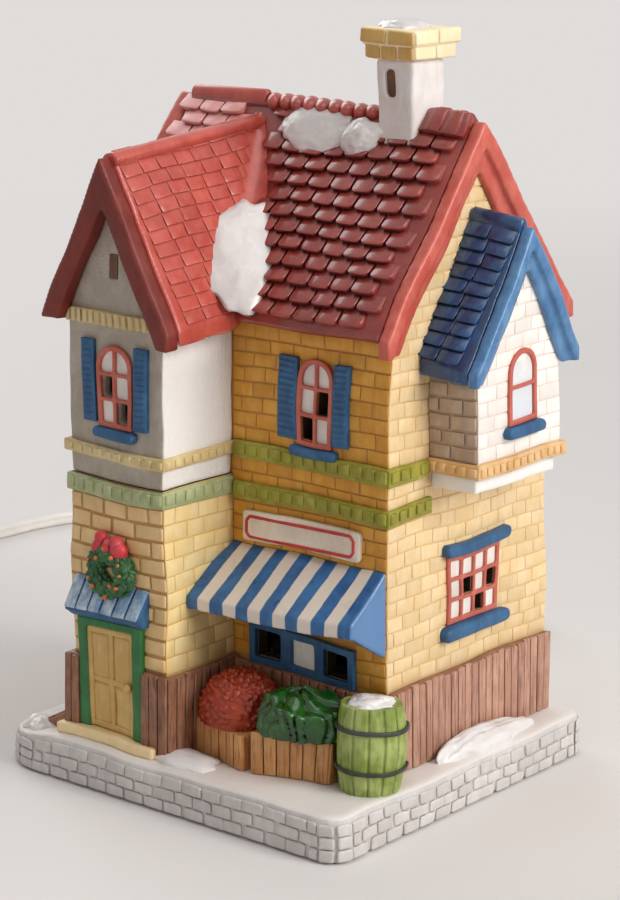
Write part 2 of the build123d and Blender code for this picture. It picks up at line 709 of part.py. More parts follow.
def barrel_solid(grow):
    """The bellied barrel, made thicker by grow for the hoops and for its neighbours' clearance."""
    end = 0.84 * BARREL_R + grow
    stave = ThreePointArc((end, 0), (BARREL_R + grow, BARREL_H / 2), (end, BARREL_H))
    outline = make_face([stave, Polyline((end, BARREL_H), (0, BARREL_H), (0, 0), (end, 0))])
    turned = revolve(Plane.XZ * outline, Axis.Z)
    behind = block(-FAR, FAR, CRATE_BACK, FAR, -FAR, FAR)
    return Pos(BARREL_AT[0], BARREL_AT[1], BASE_H) * turned - behind


def barrel():
    return barrel_solid(0)


def barrel_hoops():
    hoops = []
    for z in (BASE_H + 6.2, BASE_H + 18.4):
        hoops.append((barrel_solid(0.8) & block(-FAR, FAR, -FAR, FAR, z, z + 2.2)) - barrel_solid(0))
    return group(*hoops)


def crate_left():
    x0 = WING_X1 + TRIM + 0.2
    front = [(x0, CRATE_BACK - 17.6), (CRATE_SPLIT - 1.2, CRATE_BACK - 23.2)]
    return prism_z([(x0, CRATE_BACK), *front, (CRATE_SPLIT + 0.4, CRATE_BACK)], BASE_H, 25.4)


def crate_right():
    end = CRATE_SPLIT + 26.0
    front = [(CRATE_SPLIT + 1.4, CRATE_BACK - 22.6), (end, CRATE_BACK - 15.6)]
    body = prism_z([(CRATE_SPLIT + 0.6, CRATE_BACK), *front, (end, CRATE_BACK)], BASE_H, 27.2)
    return body - barrel_solid(1.2)


def red_heap():
    room = block(WING_X1 + TRIM + 0.2, CRATE_SPLIT - 0.4, -FAR, CRATE_BACK, 25.4, FAR)
    return Pos(CRATE_SPLIT - 12.6, CRATE_BACK - 11.6, 30.0) * Sphere(13.0) & room


def green_heap():
    room = block(CRATE_SPLIT, FAR, -FAR, CRATE_BACK, 27.2, FAR)
    heap = egg((CRATE_SPLIT + 12.8, CRATE_BACK - 11.6, 29.5), (1, 0, 0), 33.0, 12.6)
    return (heap & room) - barrel_solid(1.2)


def cellar_hatch():
    x1 = WING_X0 - TRIM
    outline = [(x1, BASE_H - 4), (x1, 19.9), (x1 - 14.5, 12.9), (x1 - 14.5, BASE_H - 4)]
    return prism_y(outline, WING_Y0 + 0.5, MAIN_Y0 - TRIM - HATCH_CLEAR) - base_plinth()


# Snow
def snow_on_roof(grow):
    """The eggs of snow in the valley and under the ridge, made larger by grow."""

    def lump(x, down, sunk, way, length, radius):
        y = MAIN_RIDGE_Y - down
        return egg((x, y, main_slope_z(y) - sunk), way, length + 2 * grow, radius + grow)

    valley = lump(WING_XM + 20.0, 32.8, 5.2, (0.414, -0.562, -0.717), 46.0, 13.0)
    ridge = lump(CHIMNEY_X - 31.1, 4.7, 7.2, (1, 0, 0), 31.0, 9.4)
    foot = lump(CHIMNEY_X - 11.9, 5.7, 5.1, (1, 0, 0), 15.0, 7.6)
    return [valley, ridge + foot]


def roof_snow():
    cap_snow = cap(CHIMNEY_X - 2.0, MAIN_RIDGE_Y, CHIMNEY_TOP + 2 * CAP_COURSE, 7.6, 2.8)
    before = block(-FAR, FAR, -FAR, MAIN_RIDGE_Y, -FAR, FAR)
    blobs = []
    for blob in snow_on_roof(0):
        blobs.append((blob & before) - main_outside - wing_outside - chimney_stack())
    return group(*blobs, cap_snow)


def base_snow():
    by_door = cap(WING_X1 + 2.0, -BASE_D / 2 + 9.9, BASE_H, 12.0, 4.0)
    by_door = by_door - wainscot() - wing_ground_walls() - crate_left() - door_step()
    by_door &= block(-FAR, FAR, -BASE_D / 2 + SNOW_MARGIN, FAR, BASE_H, FAR)
    by_side = egg((BASE_W / 2 - 7.8, 15.5 * Y_SHARE, BASE_H - 2.2), (0, 1, 0), 48.0, 9.0)
    by_side &= block(MAIN_X1 + TRIM, BASE_W / 2 - SNOW_MARGIN, -FAR, FAR, BASE_H, FAR)
    on_barrel = cap(BARREL_AT[0], BARREL_AT[1], BASE_H + BARREL_H, 6.6, 2.4)
    corner = Pos(-BASE_W / 2 + 12.6, -BASE_D / 2 + 9.7, BASE_H - 5.2) * Sphere(6.5)
    corner = corner - base_plinth() - door_step() - cellar_hatch()
    return group(by_door.solids().sort_by(Axis.X)[-1], by_side, on_barrel, corner)


# Lamp set, turned about an axis along Y; local z of a turned shape runs from the wall into the house
def on_lamp_axis(shape):
    return Pos(LAMP_X, MAIN_Y1, LAMP_Z) * Rot(X=90) * shape


def turned(points):
    """A solid of revolution from (radius, depth) points, on the lamp axis."""
    outline = make_face(Polyline(*[(r, 0, d) for r, d in points], close=True))
    return on_lamp_axis(revolve(outline, Axis.Z))


SOCKET_R = SCREW_R + 1.2
SOCKET_FLOOR = HOLDER_LONG - 17.0
SCREW_FLOOR = SOCKET_FLOOR + 1.2
MOUTH = HOLDER_LONG - 1.5
BOSS_R = 8.0
BOSS_LONG = 5.0


def lampholder_body():
    back = -FLANGE_T - BOSS_LONG
    return turned(
        [
            (0, back),
            (BOSS_R, back),
            (BOSS_R, -FLANGE_T),
            (FLANGE_R, -FLANGE_T),
            (FLANGE_R, 0),
            (HOLDER_R, 0),
            (HOLDER_R, HOLDER_LONG),
            (SOCKET_R + 0.1, HOLDER_LONG),
            (SOCKET_R + 0.1, SOCKET_FLOOR),
            (0, SOCKET_FLOOR),
        ]
    )


def lampholder_shell():
    inner = SCREW_R + 0.35
    return turned(
        [
            (0, SOCKET_FLOOR),
            (SOCKET_R, SOCKET_FLOOR),
            (SOCKET_R, MOUTH),
            (inner, MOUTH),
            (inner, SCREW_FLOOR),
            (0, SCREW_FLOOR),
        ]
    )


def lampholder_clips():
    strip = [(HOLDER_R, 15.0), (14.2, 6.0), (13.4, 0), (12.75, 0), (13.4, 6.0), (HOLDER_R, 13.0)]
    clips = []
    for turn in (0, 180):
        outline = make_face(Polyline(*[(r, -3.0, d) for r, d in strip], close=True))
        clip = extrude(outline, 6.0, dir=(0, 1, 0)) - Cylinder(HOLDER_R + 0.02, 4 * HOLDER_LONG)
        clips.append(on_lamp_axis(Rot(Z=turn) * clip))
    return group(*clips)


LAMP_CONTACT = SCREW_FLOOR + 0.3
LAMP_NECK = LAMP_CONTACT + 13.6


def lamp_base():
    return turned(
        [
            (0, LAMP_CONTACT),
            (2.4, LAMP_CONTACT),
            (SCREW_R, LAMP_CONTACT + 2.6),
            (SCREW_R, LAMP_NECK),
            (0, LAMP_NECK),
        ]
    )


def lamp_glass():
    wide_at = LAMP_NECK + 0.45 * GLASS_LONG
    tip = LAMP_NECK + GLASS_LONG
    neck = SCREW_R - 0.2

    def profile(thick):
        points = [(neck - thick, 0, LAMP_NECK), (GLASS_R - thick, 0, wide_at), (0, 0, tip - thick)]
        return Spline(*points, tangents=[(0.25, 0, 1), (-1, 0, 0)])

    side = profile(0)
    inner = profile(GLASS_WALL)
    rim = Line(side @ 0, inner @ 0)
    nose = Line(side @ 1, inner @ 1)
    return on_lamp_axis(revolve(make_face([side, nose, inner, rim]), Axis.Z))


RELIEF_LONG = 20.0
EXIT_Y = MAIN_Y1 + FLANGE_T + BOSS_LONG + RELIEF_LONG
COIL_CENTRE = (LAMP_X + COIL_FROM_EXIT[0], EXIT_Y + COIL_FROM_EXIT[1])


def cord_relief():
    back = -FLANGE_T - BOSS_LONG
    return turned([(0, back), (5.0, back), (0.55 * CORD_D, back - RELIEF_LONG), (0, back - RELIEF_LONG)])


# Cord: the route from the relief, behind the house and out of sight on the left, then a coil and the plug
FLOOR = CORD_D / 2
TURN_RATE = COIL_PITCH / (2 * math.pi)
COIL_Z = COIL_LIFT + CORD_D / 2
COIL_STEP_Z = CORD_D + 0.55


def coil_place(turns):
    """Point of the coil's centre line after so many turns: in on the floor, up a layer, out again."""
    middle = COIL_TURNS / 2
    climb = 0.25
    away = abs(turns - middle)
    if away < climb:
        spread = (away**2 + climb**2) / (2 * climb)
    else:
        spread = away
    radius = COIL_MEAN_R + COIL_PITCH * (spread - COIL_TURNS / 4)
    share = min(max((turns - middle + climb) / (2 * climb), 0), 1)
    height = COIL_Z + COIL_STEP_Z * (share - math.sin(2 * math.pi * share) / (2 * math.pi))
    angle = math.pi + 2 * math.pi * turns
    return Vector(
        COIL_CENTRE[0] + radius * math.cos(angle), COIL_CENTRE[1] + radius * math.sin(angle), height
    )


def coil_direction(turns):
    small = 1e-4
    return (coil_place(turns + small) - coil_place(turns - small)).normalized()


def biarc(p0, t0, p1, t1):
    """Two arcs that share a tangent, from p0 along t0 to p1 along t1."""
    v = p1 - p0
    t = t0 + t1
    bend = 2 * (1 - t0.dot(t1))
    reach = (-v.dot(t) + math.sqrt(v.dot(t) ** 2 + bend * v.dot(v))) / bend
    joint = (p0 + p1 + (t0 - t1) * reach) * 0.5
    return [TangentArc(p0, joint, tangent=t0), TangentArc(p1, joint, tangent=t1 * -1)]


coil_start = coil_place(0)
coil_start_way = coil_direction(0)
coil_end = coil_place(COIL_TURNS)
coil_end_way = coil_direction(COIL_TURNS)
COIL_IN = coil_start - coil_start_way * CORD_D
COIL_OUT = coil_end + coil_end_way * CORD_D


def tube(path, radius=CORD_D / 2):
    ring = Plane(origin=path @ 0, z_dir=path % 0) * Circle(radius)
    return sweep(ring, path=path)


def cord_coil():
    stations = round(4 * COIL_TURNS)
    edges = [Line(COIL_IN, coil_start)]
    for i in range(stations):
        a = COIL_TURNS * i / stations
        b = COIL_TURNS * (i + 1) / stations
        edges += biarc(coil_place(a), coil_direction(a), coil_place(b), coil_direction(b))
    edges.append(Line(coil_end, COIL_OUT))
    path = Wire(edges)
    print("coil length", round(path.length, 1), "least gap", round(coil_gap(), 2))
    return tube(path)


def coil_gap():
    """Least distance between stretches of the coil half a turn or more apart, less one diameter."""
    count = 60 * math.ceil(COIL_TURNS)
    points = [coil_place(COIL_TURNS * i / count) for i in range(count + 1)]
    apart = round(count / COIL_TURNS / 2)
    least = min(
        (points[i] - points[j]).length for i in range(count + 1) for j in range(i + apart, count + 1)
    )
    return least - CORD_D


ROUTE = [
    (LAMP_X, EXIT_Y, LAMP_Z),
    (LAMP_X, EXIT_Y + 20, LAMP_Z),
    (LAMP_X - 4, EXIT_Y + 44, LAMP_Z - 8.0),
    (LAMP_X - 14, EXIT_Y + 67, 16.0),
    (LAMP_X - 30, EXIT_Y + 86, 5.0),
    (LAMP_X - 57, EXIT_Y + 99, FLOOR + 0.6),
    (LAMP_X - 92, EXIT_Y + 106.5, SWITCH_AXIS_Z),
    (LAMP_X - 158, EXIT_Y + 112, SWITCH_AXIS_Z),
    (LAMP_X - 194, EXIT_Y + 108, FLOOR + 0.5),
    (LAMP_X - 226, EXIT_Y + 97, FLOOR),
    (LAMP_X - 248, EXIT_Y + 80, FLOOR),
    (LAMP_X - 258, EXIT_Y + 57, FLOOR),
    (LAMP_X - 259, EXIT_Y + 27, FLOOR),
    (LAMP_X - 270, EXIT_Y + 1, FLOOR + 0.3),
]


def rounded_path(name, points):
    """Straight runs joined by arcs as large as the runs allow."""
    corners = [Vector(*p) for p in points]
    radii = []
    for a, b, c in zip(corners, corners[1:], corners[2:]):
        turn = math.radians((b - a).get_angle(c - b))
        shorter = min((b - a).length, (c - b).length)
        radii.append(0.45 * shorter / math.tan(turn / 2))
    path = FilletPolyline(*corners, radius=radii)
    print(name, "length", round(path.length, 1), "radii", [round(r) for r in radii])
    return path


def checked_tube(name, points):
    path = rounded_path(name, points)
    solid = tube(path)
    ratio = solid.volume / (math.pi * CORD_D**2 / 4 * path.length)
    print(name, "volume over section times length", round(ratio, 4))
    return solid


LEAD_POINTS = ROUTE + [COIL_IN - coil_start_way * 24.0, COIL_IN]
PLUG_AXIS_Z = PLUG_H / 2
TAIL_POINTS = [
    COIL_OUT,
    COIL_OUT + coil_end_way * 16.0,
    COIL_OUT + coil_end_way * 32.0 + Vector(0, -2.5, PLUG_AXIS_Z - coil_end.Z),
    COIL_OUT + coil_end_way * 47.0 + Vector(0, -6.0, PLUG_AXIS_Z - coil_end.Z),
]


def coil_tie():
    """A flat band round the whole bundle of turns, on the coil's far side."""
    inner = COIL_MEAN_R - COIL_PITCH * COIL_TURNS / 4 - CORD_D / 2 - 0.8
    outer = COIL_MEAN_R + COIL_PITCH * COIL_TURNS / 4 + CORD_D / 2 + 1.2
    low = COIL_LIFT - 0.2
    high = COIL_Z + COIL_STEP_Z + CORD_D / 2 + 0.4
    band = 0.7
    ring = block(inner - band, outer + band, -3.0, 3.0, low - band, high + band)
    ring -= block(inner, outer, -4.0, 4.0, low, high)
    return Pos(COIL_CENTRE[0], COIL_CENTRE[1], 0) * Rot(Z=-45) * ring


SWITCH_A = Vector(*ROUTE[6])
SWITCH_B = Vector(*ROUTE[7])
SWITCH_AT = (SWITCH_A + SWITCH_B) * 0.5
SWITCH_YAW = math.degrees(math.atan2(SWITCH_B.Y - SWITCH_A.Y, SWITCH_B.X - SWITCH_A.X))
WHEEL_R = 8.5
WHEEL_OFF = 4.2
SLOT_Z = 9.0
SLOT_H = 3.6


def on_switch(shape):
    return Pos(SWITCH_AT.X, SWITCH_AT.Y, 0) * Rot(Z=SWITCH_YAW) * shape


def switch_case():
    body = extrude(RectangleRounded(SWITCH_LONG, SWITCH_W, 7.0), SWITCH_H)
    body = fillet(body.faces().sort_by(Axis.Z)[-1].edges(), 2.0)
    body -= Pos(0, 0, SWITCH_AXIS_Z) * Rot(Y=90) * Cylinder(CORD_D / 2 + 0.35, 2 * SWITCH_LONG)
    slot = Pos(0, WHEEL_OFF, SLOT_Z + SLOT_H / 2) * Cylinder(WHEEL_R + 0.6, SLOT_H)
    pin = Pos(0, WHEEL_OFF, SLOT_Z + SLOT_H / 2) * Cylinder(1.5, SLOT_H)
    return on_switch(body - slot + pin)


def switch_wheel():
    disc = Cylinder(WHEEL_R, SLOT_H - 0.6) - Cylinder(1.85, SLOT_H)
    notches = 18
    for i in range(notches):
        disc -= Rot(Z=360 * i / notches) * Pos(WHEEL_R + 0.3, 0, 0) * Cylinder(0.7, SLOT_H)
    return on_switch(Pos(0, WHEEL_OFF, SLOT_Z + SLOT_H / 2) * disc)


PLUG_FROM = TAIL_POINTS[-1]
PLUG_WAY = (TAIL_POINTS[-1] - TAIL_POINTS[-2]).normalized()
PLUG_YAW = math.degrees(math.atan2(PLUG_WAY.Y, PLUG_WAY.X))


def on_plug(shape):
    return Pos(PLUG_FROM.X, PLUG_FROM.Y, PLUG_AXIS_Z) * Rot(Z=PLUG_YAW) * shape


def plug_body():
    def section(x, wide, high, corner):
        return Plane(origin=(x, 0, 0), x_dir=(0, 1, 0), z_dir=(1, 0, 0)) * RectangleRounded(wide, high, corner)

    neck = section(0, 9.0, 8.0, 3.0)
    shoulder = section(0.4 * PLUG_LONG, PLUG_W, PLUG_H, 5.0)
    front = section(PLUG_LONG, PLUG_W, PLUG_H, 5.0)
    return on_plug(loft([neck, shoulder], ruled=True) + loft([shoulder, front], ruled=True))


def plug_blades():
    blades = []
    for side in (-1, 1):
        y = side * BLADE_GAP / 2
        blades.append(on_plug(block(PLUG_LONG, PLUG_LONG + 16.0, y - 0.75, y + 0.75, -3.2, 3.2)))
    return group(*blades)


# Every node of the house, then of the lamp set
HOUSE = {
    "base_plinth": base_plinth(),
    "main_walls": main_walls(),
    "wing_ground_walls": wing_ground_walls(),
    "wing_upper_walls": wing_upper_walls(),
    "wainscot": wainscot(),
    "main_bands": main_bands(),
    "wing_lower_band": wing_band(LOWER_BAND_Z + 0.8, LOWER_BAND_Z + 6.4, 1.4),
    "wing_upper_band": wing_band(UPPER_BAND_Z + 0.6, UPPER_BAND_Z + 4.8, 1.6),
    "wing_dentil": wing_dentil(),
    "bay_walls": bay_walls(),
    "bay_corbel": bay_corbel(),
    "bay_band": bay_band(),
    "main_roof": main_roof(),
    "wing_roof": wing_roof(),
    "bay_roof": bay_roof(),
    "main_barge_boards": main_barge_boards(),
    "wing_barge_boards": wing_barge_boards(),
    "bay_barge_boards": bay_barge_boards(),
    "chimney_stack": chimney_stack(),
    "chimney_cap": chimney_cap(),
    "awning": awning(),
    "sign_board": sign_board(),
    "shop_window": shop_window.frame(2.0),
    "side_window": side_window.frame(1.2),
    "wing_window": wing_window.frame(),
    "main_window": main_window.frame(),
    "bay_window": bay_window.frame(1.2),
    "side_window_trim": side_window_trim(),
    "window_sills": window_sills(),
    "wing_shutters": wing_shutters(),
    "main_shutters": main_shutters(),
    "door": door(),
    "door_frame": door_frame(),
    "door_step": door_step(),
    "door_canopy": door_canopy(),
    "wreath": wreath(),
    "wreath_bow": wreath_bow(),
    "crate_left": crate_left(),
    "crate_right": crate_right(),
    "red_heap": red_heap(),
    "green_heap": green_heap(),
    "barrel": barrel(),
    "barrel_hoops": barrel_hoops(),
    "cellar_hatch": cellar_hatch(),
    "roof_snow": roof_snow(),
    "base_snow": base_snow(),
}
LAMP_SET = {
    "lamp_glass": lamp_glass(),
    "lamp_base": lamp_base(),
    "lampholder_body": lampholder_body(),
    "lampholder_shell": lampholder_shell(),
    "lampholder_clips": lampholder_clips(),
    "cord_relief": cord_relief(),
    "cord_lead": checked_tube("cord lead", LEAD_POINTS),
    "cord_coil": cord_coil(),
    "cord_tail": checked_tube("cord tail", TAIL_POINTS),
    "coil_tie": coil_tie(),
    "switch_case": switch_case(),
    "switch_wheel": switch_wheel(),
    "plug_body": plug_body(),
    "plug_blades": plug_blades(),
}

# The origin is the middle of the house's box, at the floor
box = Compound([solid for shape in HOUSE.values() for solid in shape.solids()]).bounding_box()
SHIFT = Pos(-box.center().X, -box.center().Y, 0)
print("origin shift", [round(v, 3) for v in (-box.center().X, -box.center().Y)])
print("house box", box.size)
for name, shape in {**HOUSE, **LAMP_SET}.items():
    export_step(SHIFT * shape, "parts/" + name + ".step")
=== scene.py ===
# %% [markdown]
# A lit ceramic village house: one hollow casting, painted by hand and fired again, with a lamp clipped
# into its back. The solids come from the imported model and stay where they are. This lesson dresses
# them: brickwork, roof tiles, stones, snow and goods become real shapes, and every finish is a small
# tree of nodes.

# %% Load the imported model
import json
import math
import random

import bpy
from mathutils import Matrix, Vector
from mathutils import noise as clouds

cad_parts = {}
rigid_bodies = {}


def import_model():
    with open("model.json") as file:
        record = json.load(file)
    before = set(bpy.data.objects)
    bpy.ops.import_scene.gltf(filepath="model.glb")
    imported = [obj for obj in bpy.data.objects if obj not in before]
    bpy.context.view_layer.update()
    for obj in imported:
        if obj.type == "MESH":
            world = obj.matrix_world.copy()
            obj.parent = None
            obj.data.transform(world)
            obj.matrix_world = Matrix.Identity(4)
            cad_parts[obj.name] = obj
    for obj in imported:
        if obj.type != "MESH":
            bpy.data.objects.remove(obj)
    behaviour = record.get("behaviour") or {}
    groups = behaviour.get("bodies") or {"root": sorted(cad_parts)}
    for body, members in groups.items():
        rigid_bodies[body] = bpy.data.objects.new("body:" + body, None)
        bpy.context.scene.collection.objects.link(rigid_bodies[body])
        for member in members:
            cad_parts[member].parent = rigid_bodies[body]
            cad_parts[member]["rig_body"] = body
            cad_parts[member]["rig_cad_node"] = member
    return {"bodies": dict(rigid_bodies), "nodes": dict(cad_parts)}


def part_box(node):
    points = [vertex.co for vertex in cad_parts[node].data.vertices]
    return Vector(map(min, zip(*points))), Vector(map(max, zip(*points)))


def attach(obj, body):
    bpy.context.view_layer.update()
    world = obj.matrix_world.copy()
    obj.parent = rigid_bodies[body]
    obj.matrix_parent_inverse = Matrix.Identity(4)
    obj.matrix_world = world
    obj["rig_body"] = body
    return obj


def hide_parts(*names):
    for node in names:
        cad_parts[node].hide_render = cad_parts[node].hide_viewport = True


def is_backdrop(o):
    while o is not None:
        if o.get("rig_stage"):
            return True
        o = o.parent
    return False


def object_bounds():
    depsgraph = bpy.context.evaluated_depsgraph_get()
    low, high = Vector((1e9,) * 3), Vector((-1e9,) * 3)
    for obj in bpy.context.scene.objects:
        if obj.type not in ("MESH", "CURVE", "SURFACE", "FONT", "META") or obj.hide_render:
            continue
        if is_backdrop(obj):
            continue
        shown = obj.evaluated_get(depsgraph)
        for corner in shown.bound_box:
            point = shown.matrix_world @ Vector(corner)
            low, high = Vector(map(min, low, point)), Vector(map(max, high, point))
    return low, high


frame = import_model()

nodes = frame["nodes"]
# A new file may hold a start-up cube, lamp and camera, which aren't wanted
wanted = set(nodes.values()) | set(frame["bodies"].values())
for leftover in [ob for ob in bpy.data.objects if ob not in wanted]:
    bpy.data.objects.remove(leftover)
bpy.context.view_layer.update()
MM = 0.001
# The casting's waviness is noise, which starts from the same number in each run
clouds.seed_set(3)
# The house was drawn with its base in the middle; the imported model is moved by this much
SHIFT = Vector((-4.5, -0.6, 0.0))
EAST, WEST, NORTH, SOUTH = Vector((1, 0, 0)), Vector((-1, 0, 0)), Vector((0, 1, 0)), Vector((0, -1, 0))
UPWARD = Vector((0, 0, 1))


def at(x, y, z):
    """A place on the house in millimetres, as a point of the model in metres."""
    return (Vector((x, y, z)) + SHIFT) * MM


# %% [markdown]
# The camera comes first, because the cord's free length has to stay out of its view. Its place and its
# long lens were found by laying the solids' edges over the photograph.

# %% Camera
AZIMUTH = math.radians(39.86)
ELEVATION = math.radians(13.93)
back = Vector((
    math.sin(AZIMUTH) * math.cos(ELEVATION),
    -math.cos(AZIMUTH) * math.cos(ELEVATION),
    math.sin(ELEVATION),
))
right = Vector((math.cos(AZIMUTH), math.sin(AZIMUTH), 0.0))
up = back.cross(right)
camera_data = bpy.data.cameras.new("studio_camera")
camera_data.lens = 107.84
camera_data.sensor_width = 36.0
camera_data.clip_start = 0.05
camera_data.clip_end = 20.0
camera = bpy.data.objects.new("studio_camera", camera_data)
bpy.context.scene.collection.objects.link(camera)
turn = Matrix((right, up, back)).transposed().to_4x4()
camera.matrix_world = Matrix.Translation(at(530.2, -625.4, 304.3)) @ turn
bpy.context.scene.camera = camera
print("camera", [round(v, 3) for v in camera.location])

# %% [markdown]
# A few small helpers stand for what the hand does again and again: drop the selection, add a block,
# round its edges, make copies and weld them into one piece. Each copy is a mesh of its own, so it can be
# stretched to its place without thinning its rounded edges.


# %% Helpers for the hand's moves
def deselect():
    """Leaves edit mode and selects nothing."""
    if bpy.context.object and bpy.context.object.mode != "OBJECT":
        bpy.ops.object.mode_set(mode="OBJECT")
    bpy.ops.object.select_all(action="DESELECT")


def pick(ob):
    """Makes one object the only selected and active one."""
    deselect()
    ob.hide_set(False)
    ob.select_set(True)
    bpy.context.view_layer.objects.active = ob
    return ob


def named(name):
    """Names the object that an operator has just added, and sets its place into its mesh."""
    ob = bpy.context.object
    ob.name = name
    ob.data.name = name
    bpy.ops.object.transform_apply(location=True, rotation=True, scale=True)
    return ob


def open_mesh(ob):
    """Opens a mesh for editing, with all of it selected."""
    pick(ob)
    bpy.ops.object.mode_set(mode="EDIT")
    bpy.ops.mesh.select_all(action="SELECT")


def close_mesh(ob):
    """Goes back from editing to the whole object."""
    bpy.ops.object.mode_set(mode="OBJECT")
    return ob


def add_block(name, low, high, bevel=0.0, segments=2):
    """A block between two corners, with all its edges rounded."""
    deselect()
    bpy.ops.mesh.primitive_cube_add(size=1.0, location=(low + high) / 2)
    bpy.context.object.scale = high - low
    ob = named(name)
    if bevel:
        open_mesh(ob)
        bpy.ops.mesh.bevel(offset=bevel, segments=segments, profile=0.5, affect="EDGES", clamp_overlap=True)
        close_mesh(ob)
    return ob


def use_modifier(ob, kind, **settings):
    """Adds a modifier with its settings and applies it."""
    pick(ob)
    tool = ob.modifiers.new(kind.lower(), kind)
    for key, value in settings.items():
        setattr(tool, key, value)
    bpy.ops.object.modifier_apply(modifier=tool.name)
    return ob


def smooth(ob, degrees=40.0):
    """Shades a shape smooth, but for edges sharper than an angle."""
    pick(ob)
    bpy.ops.object.shade_smooth_by_angle(angle=math.radians(degrees))
    return ob


def weld(name, obs):
    """Joins objects into one mesh piece."""
    deselect()
    for ob in obs:
        ob.select_set(True)
    bpy.context.view_layer.objects.active = obs[0]
    if len(obs) > 1:
        bpy.ops.object.join()
    ob = bpy.context.object
    ob.name = name
    ob.data.name = name
    return ob


def mark(mesh, name, value):
    """Gives every point of a mesh the same number, which its material can read."""
    layer = mesh.attributes.get(name) or mesh.attributes.new(name, "FLOAT", "POINT")
    layer.data.foreach_set("value", [value] * len(mesh.vertices))


def lay_copy(master, origin, along, upward, wide, high, tone, lift=1.0):
    """One copy of a flat piece, stretched to its size: x along, z upward, its face towards -y."""
    ob = master.copy()
    ob.data = master.data.copy()
    out = along.cross(upward)
    half = master.dimensions / 2
    for v in ob.data.vertices:
        x = v.co.x + math.copysign(1.0, v.co.x) * (wide / 2 - half.x)
        z = v.co.z + math.copysign(1.0, v.co.z) * (high / 2 - half.z)
        v.co = origin + along * x + upward * z + out * (-v.co.y * lift)
    mark(ob.data, "tone", tone)
    bpy.context.scene.collection.objects.link(ob)
    return ob


def slice_off(ob, place, normal):
    """Cuts away what lies beyond a plane and closes the cut."""
    open_mesh(ob)
    bpy.ops.mesh.bisect(plane_co=place, plane_no=normal, use_fill=True, clear_outer=True)
    return close_mesh(ob)


def face_outward(ob):
    """Turns every face of a closed shape to the outside."""
    open_mesh(ob)
    bpy.ops.mesh.normals_make_consistent(inside=False)
    return close_mesh(ob)


# %% [markdown]
# Clay is soft before it is fired, so all pieces of the house share one slow waviness. Trims are copies of the
# solids, remade in small even faces with their edges smoothed round. A finished piece is marked with the body
# it rides on, and the solids it stands for are hidden.

# %% Helpers for the casting
# The waviness in millimetres: wave lengths, how far each moves the clay, the still foot, and the lamp's hole
# in the back wall with the still ring round it
SLOW_WAVE, FAST_WAVE = 26.0, 8.5
SLOW_MOVE, FAST_MOVE = 1.15, 0.22
FOOT, BACK_FROM = 8.0, 30
HOLE, STILL, EASE = Vector((-2.5, 40.0)), 22, 14


def wobble(place):
    """How far the soft clay moved at a place of the model."""
    spot = place / MM
    calm = min(1.0, max(0.0, spot.z / FOOT))
    if spot.y > BACK_FROM:
        calm *= min(1.0, max(0.0, ((Vector((spot.x, spot.z)) - HOLE).length - STILL) / EASE))
    slow = clouds.noise_vector(spot / SLOW_WAVE)
    fast = clouds.noise_vector(spot / FAST_WAVE + Vector((40, 0, 0)))
    return (slow * SLOW_MOVE + fast * FAST_MOVE) * calm * MM


def dress(ob, material):
    """Gives an object one material."""
    ob.data.materials.clear()
    ob.data.materials.append(material)


def finish_piece(ob, slot, material, *replaced):
    """Presses a piece as soft clay, paints it, puts it on the house's body and hides the solids it stands
    for; slot is not used.
    """
    for v in ob.data.vertices:
        v.co += wobble(v.co)
    dress(ob, material)
    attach(ob, "house")
    if replaced:
        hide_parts(*replaced)
    print(ob.name, len(ob.data.polygons), "faces")
    return ob


def copy_of(node):
    """A copy of a solid's mesh with its loose triangles merged into whole faces."""
    ob = nodes[node].copy()
    ob.data = nodes[node].data.copy()
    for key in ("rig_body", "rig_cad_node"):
        if key in ob:
            del ob[key]
    ob.parent = None
    ob.name = node + "_cast"
    bpy.context.scene.collection.objects.link(ob)
    open_mesh(ob)
    bpy.ops.mesh.remove_doubles(threshold=2e-6)
    bpy.ops.mesh.dissolve_limited(angle_limit=math.radians(0.6))
    return close_mesh(ob)


def add_cuts(ob, step):
    """Cuts a mesh by planes a step apart, in millimetres, so that its long faces can bend."""
    low, high = (
        Vector([end(v.co[k] for v in ob.data.vertices) for k in range(3)]) for end in (min, max)
    )
    open_mesh(ob)
    for axis in range(3):
        normal = [float(k == axis) for k in range(3)]
        for k in range(1, int((high[axis] - low[axis]) / MM / step) + 1):
            place = low.copy()
            place[axis] += k * step * MM
            bpy.ops.mesh.select_all(action="SELECT")
            bpy.ops.mesh.bisect(plane_co=place, plane_no=normal)
    return close_mesh(ob)


def soften(ob, grain, rounds=4):
    """Remakes a shape in small even faces and rubs its edges round, as glaze does."""
    use_modifier(ob, "REMESH", mode="VOXEL", voxel_size=grain * MM)
    use_modifier(ob, "SMOOTH", factor=0.5, iterations=rounds)
    pick(ob)
    bpy.ops.object.shade_smooth()
    return ob


def cast(node, grain, slot, material, rounds=4):
    """A softened copy of a solid, which stands for it."""
    return finish_piece(soften(copy_of(node), grain, rounds), slot, material, node)


# %% [markdown]
# The cord is flat twin lamp cord, two round insulations side by side. It leaves the holder's relief,
# sags to the table, runs through the switch, past the left of the house and into a tied coil. The
# route's points are the control points of one smooth curve. A figure-of-eight outline is then carried
# along that curve; it lies flat behind the house, and turns on its edge before it is wound up.

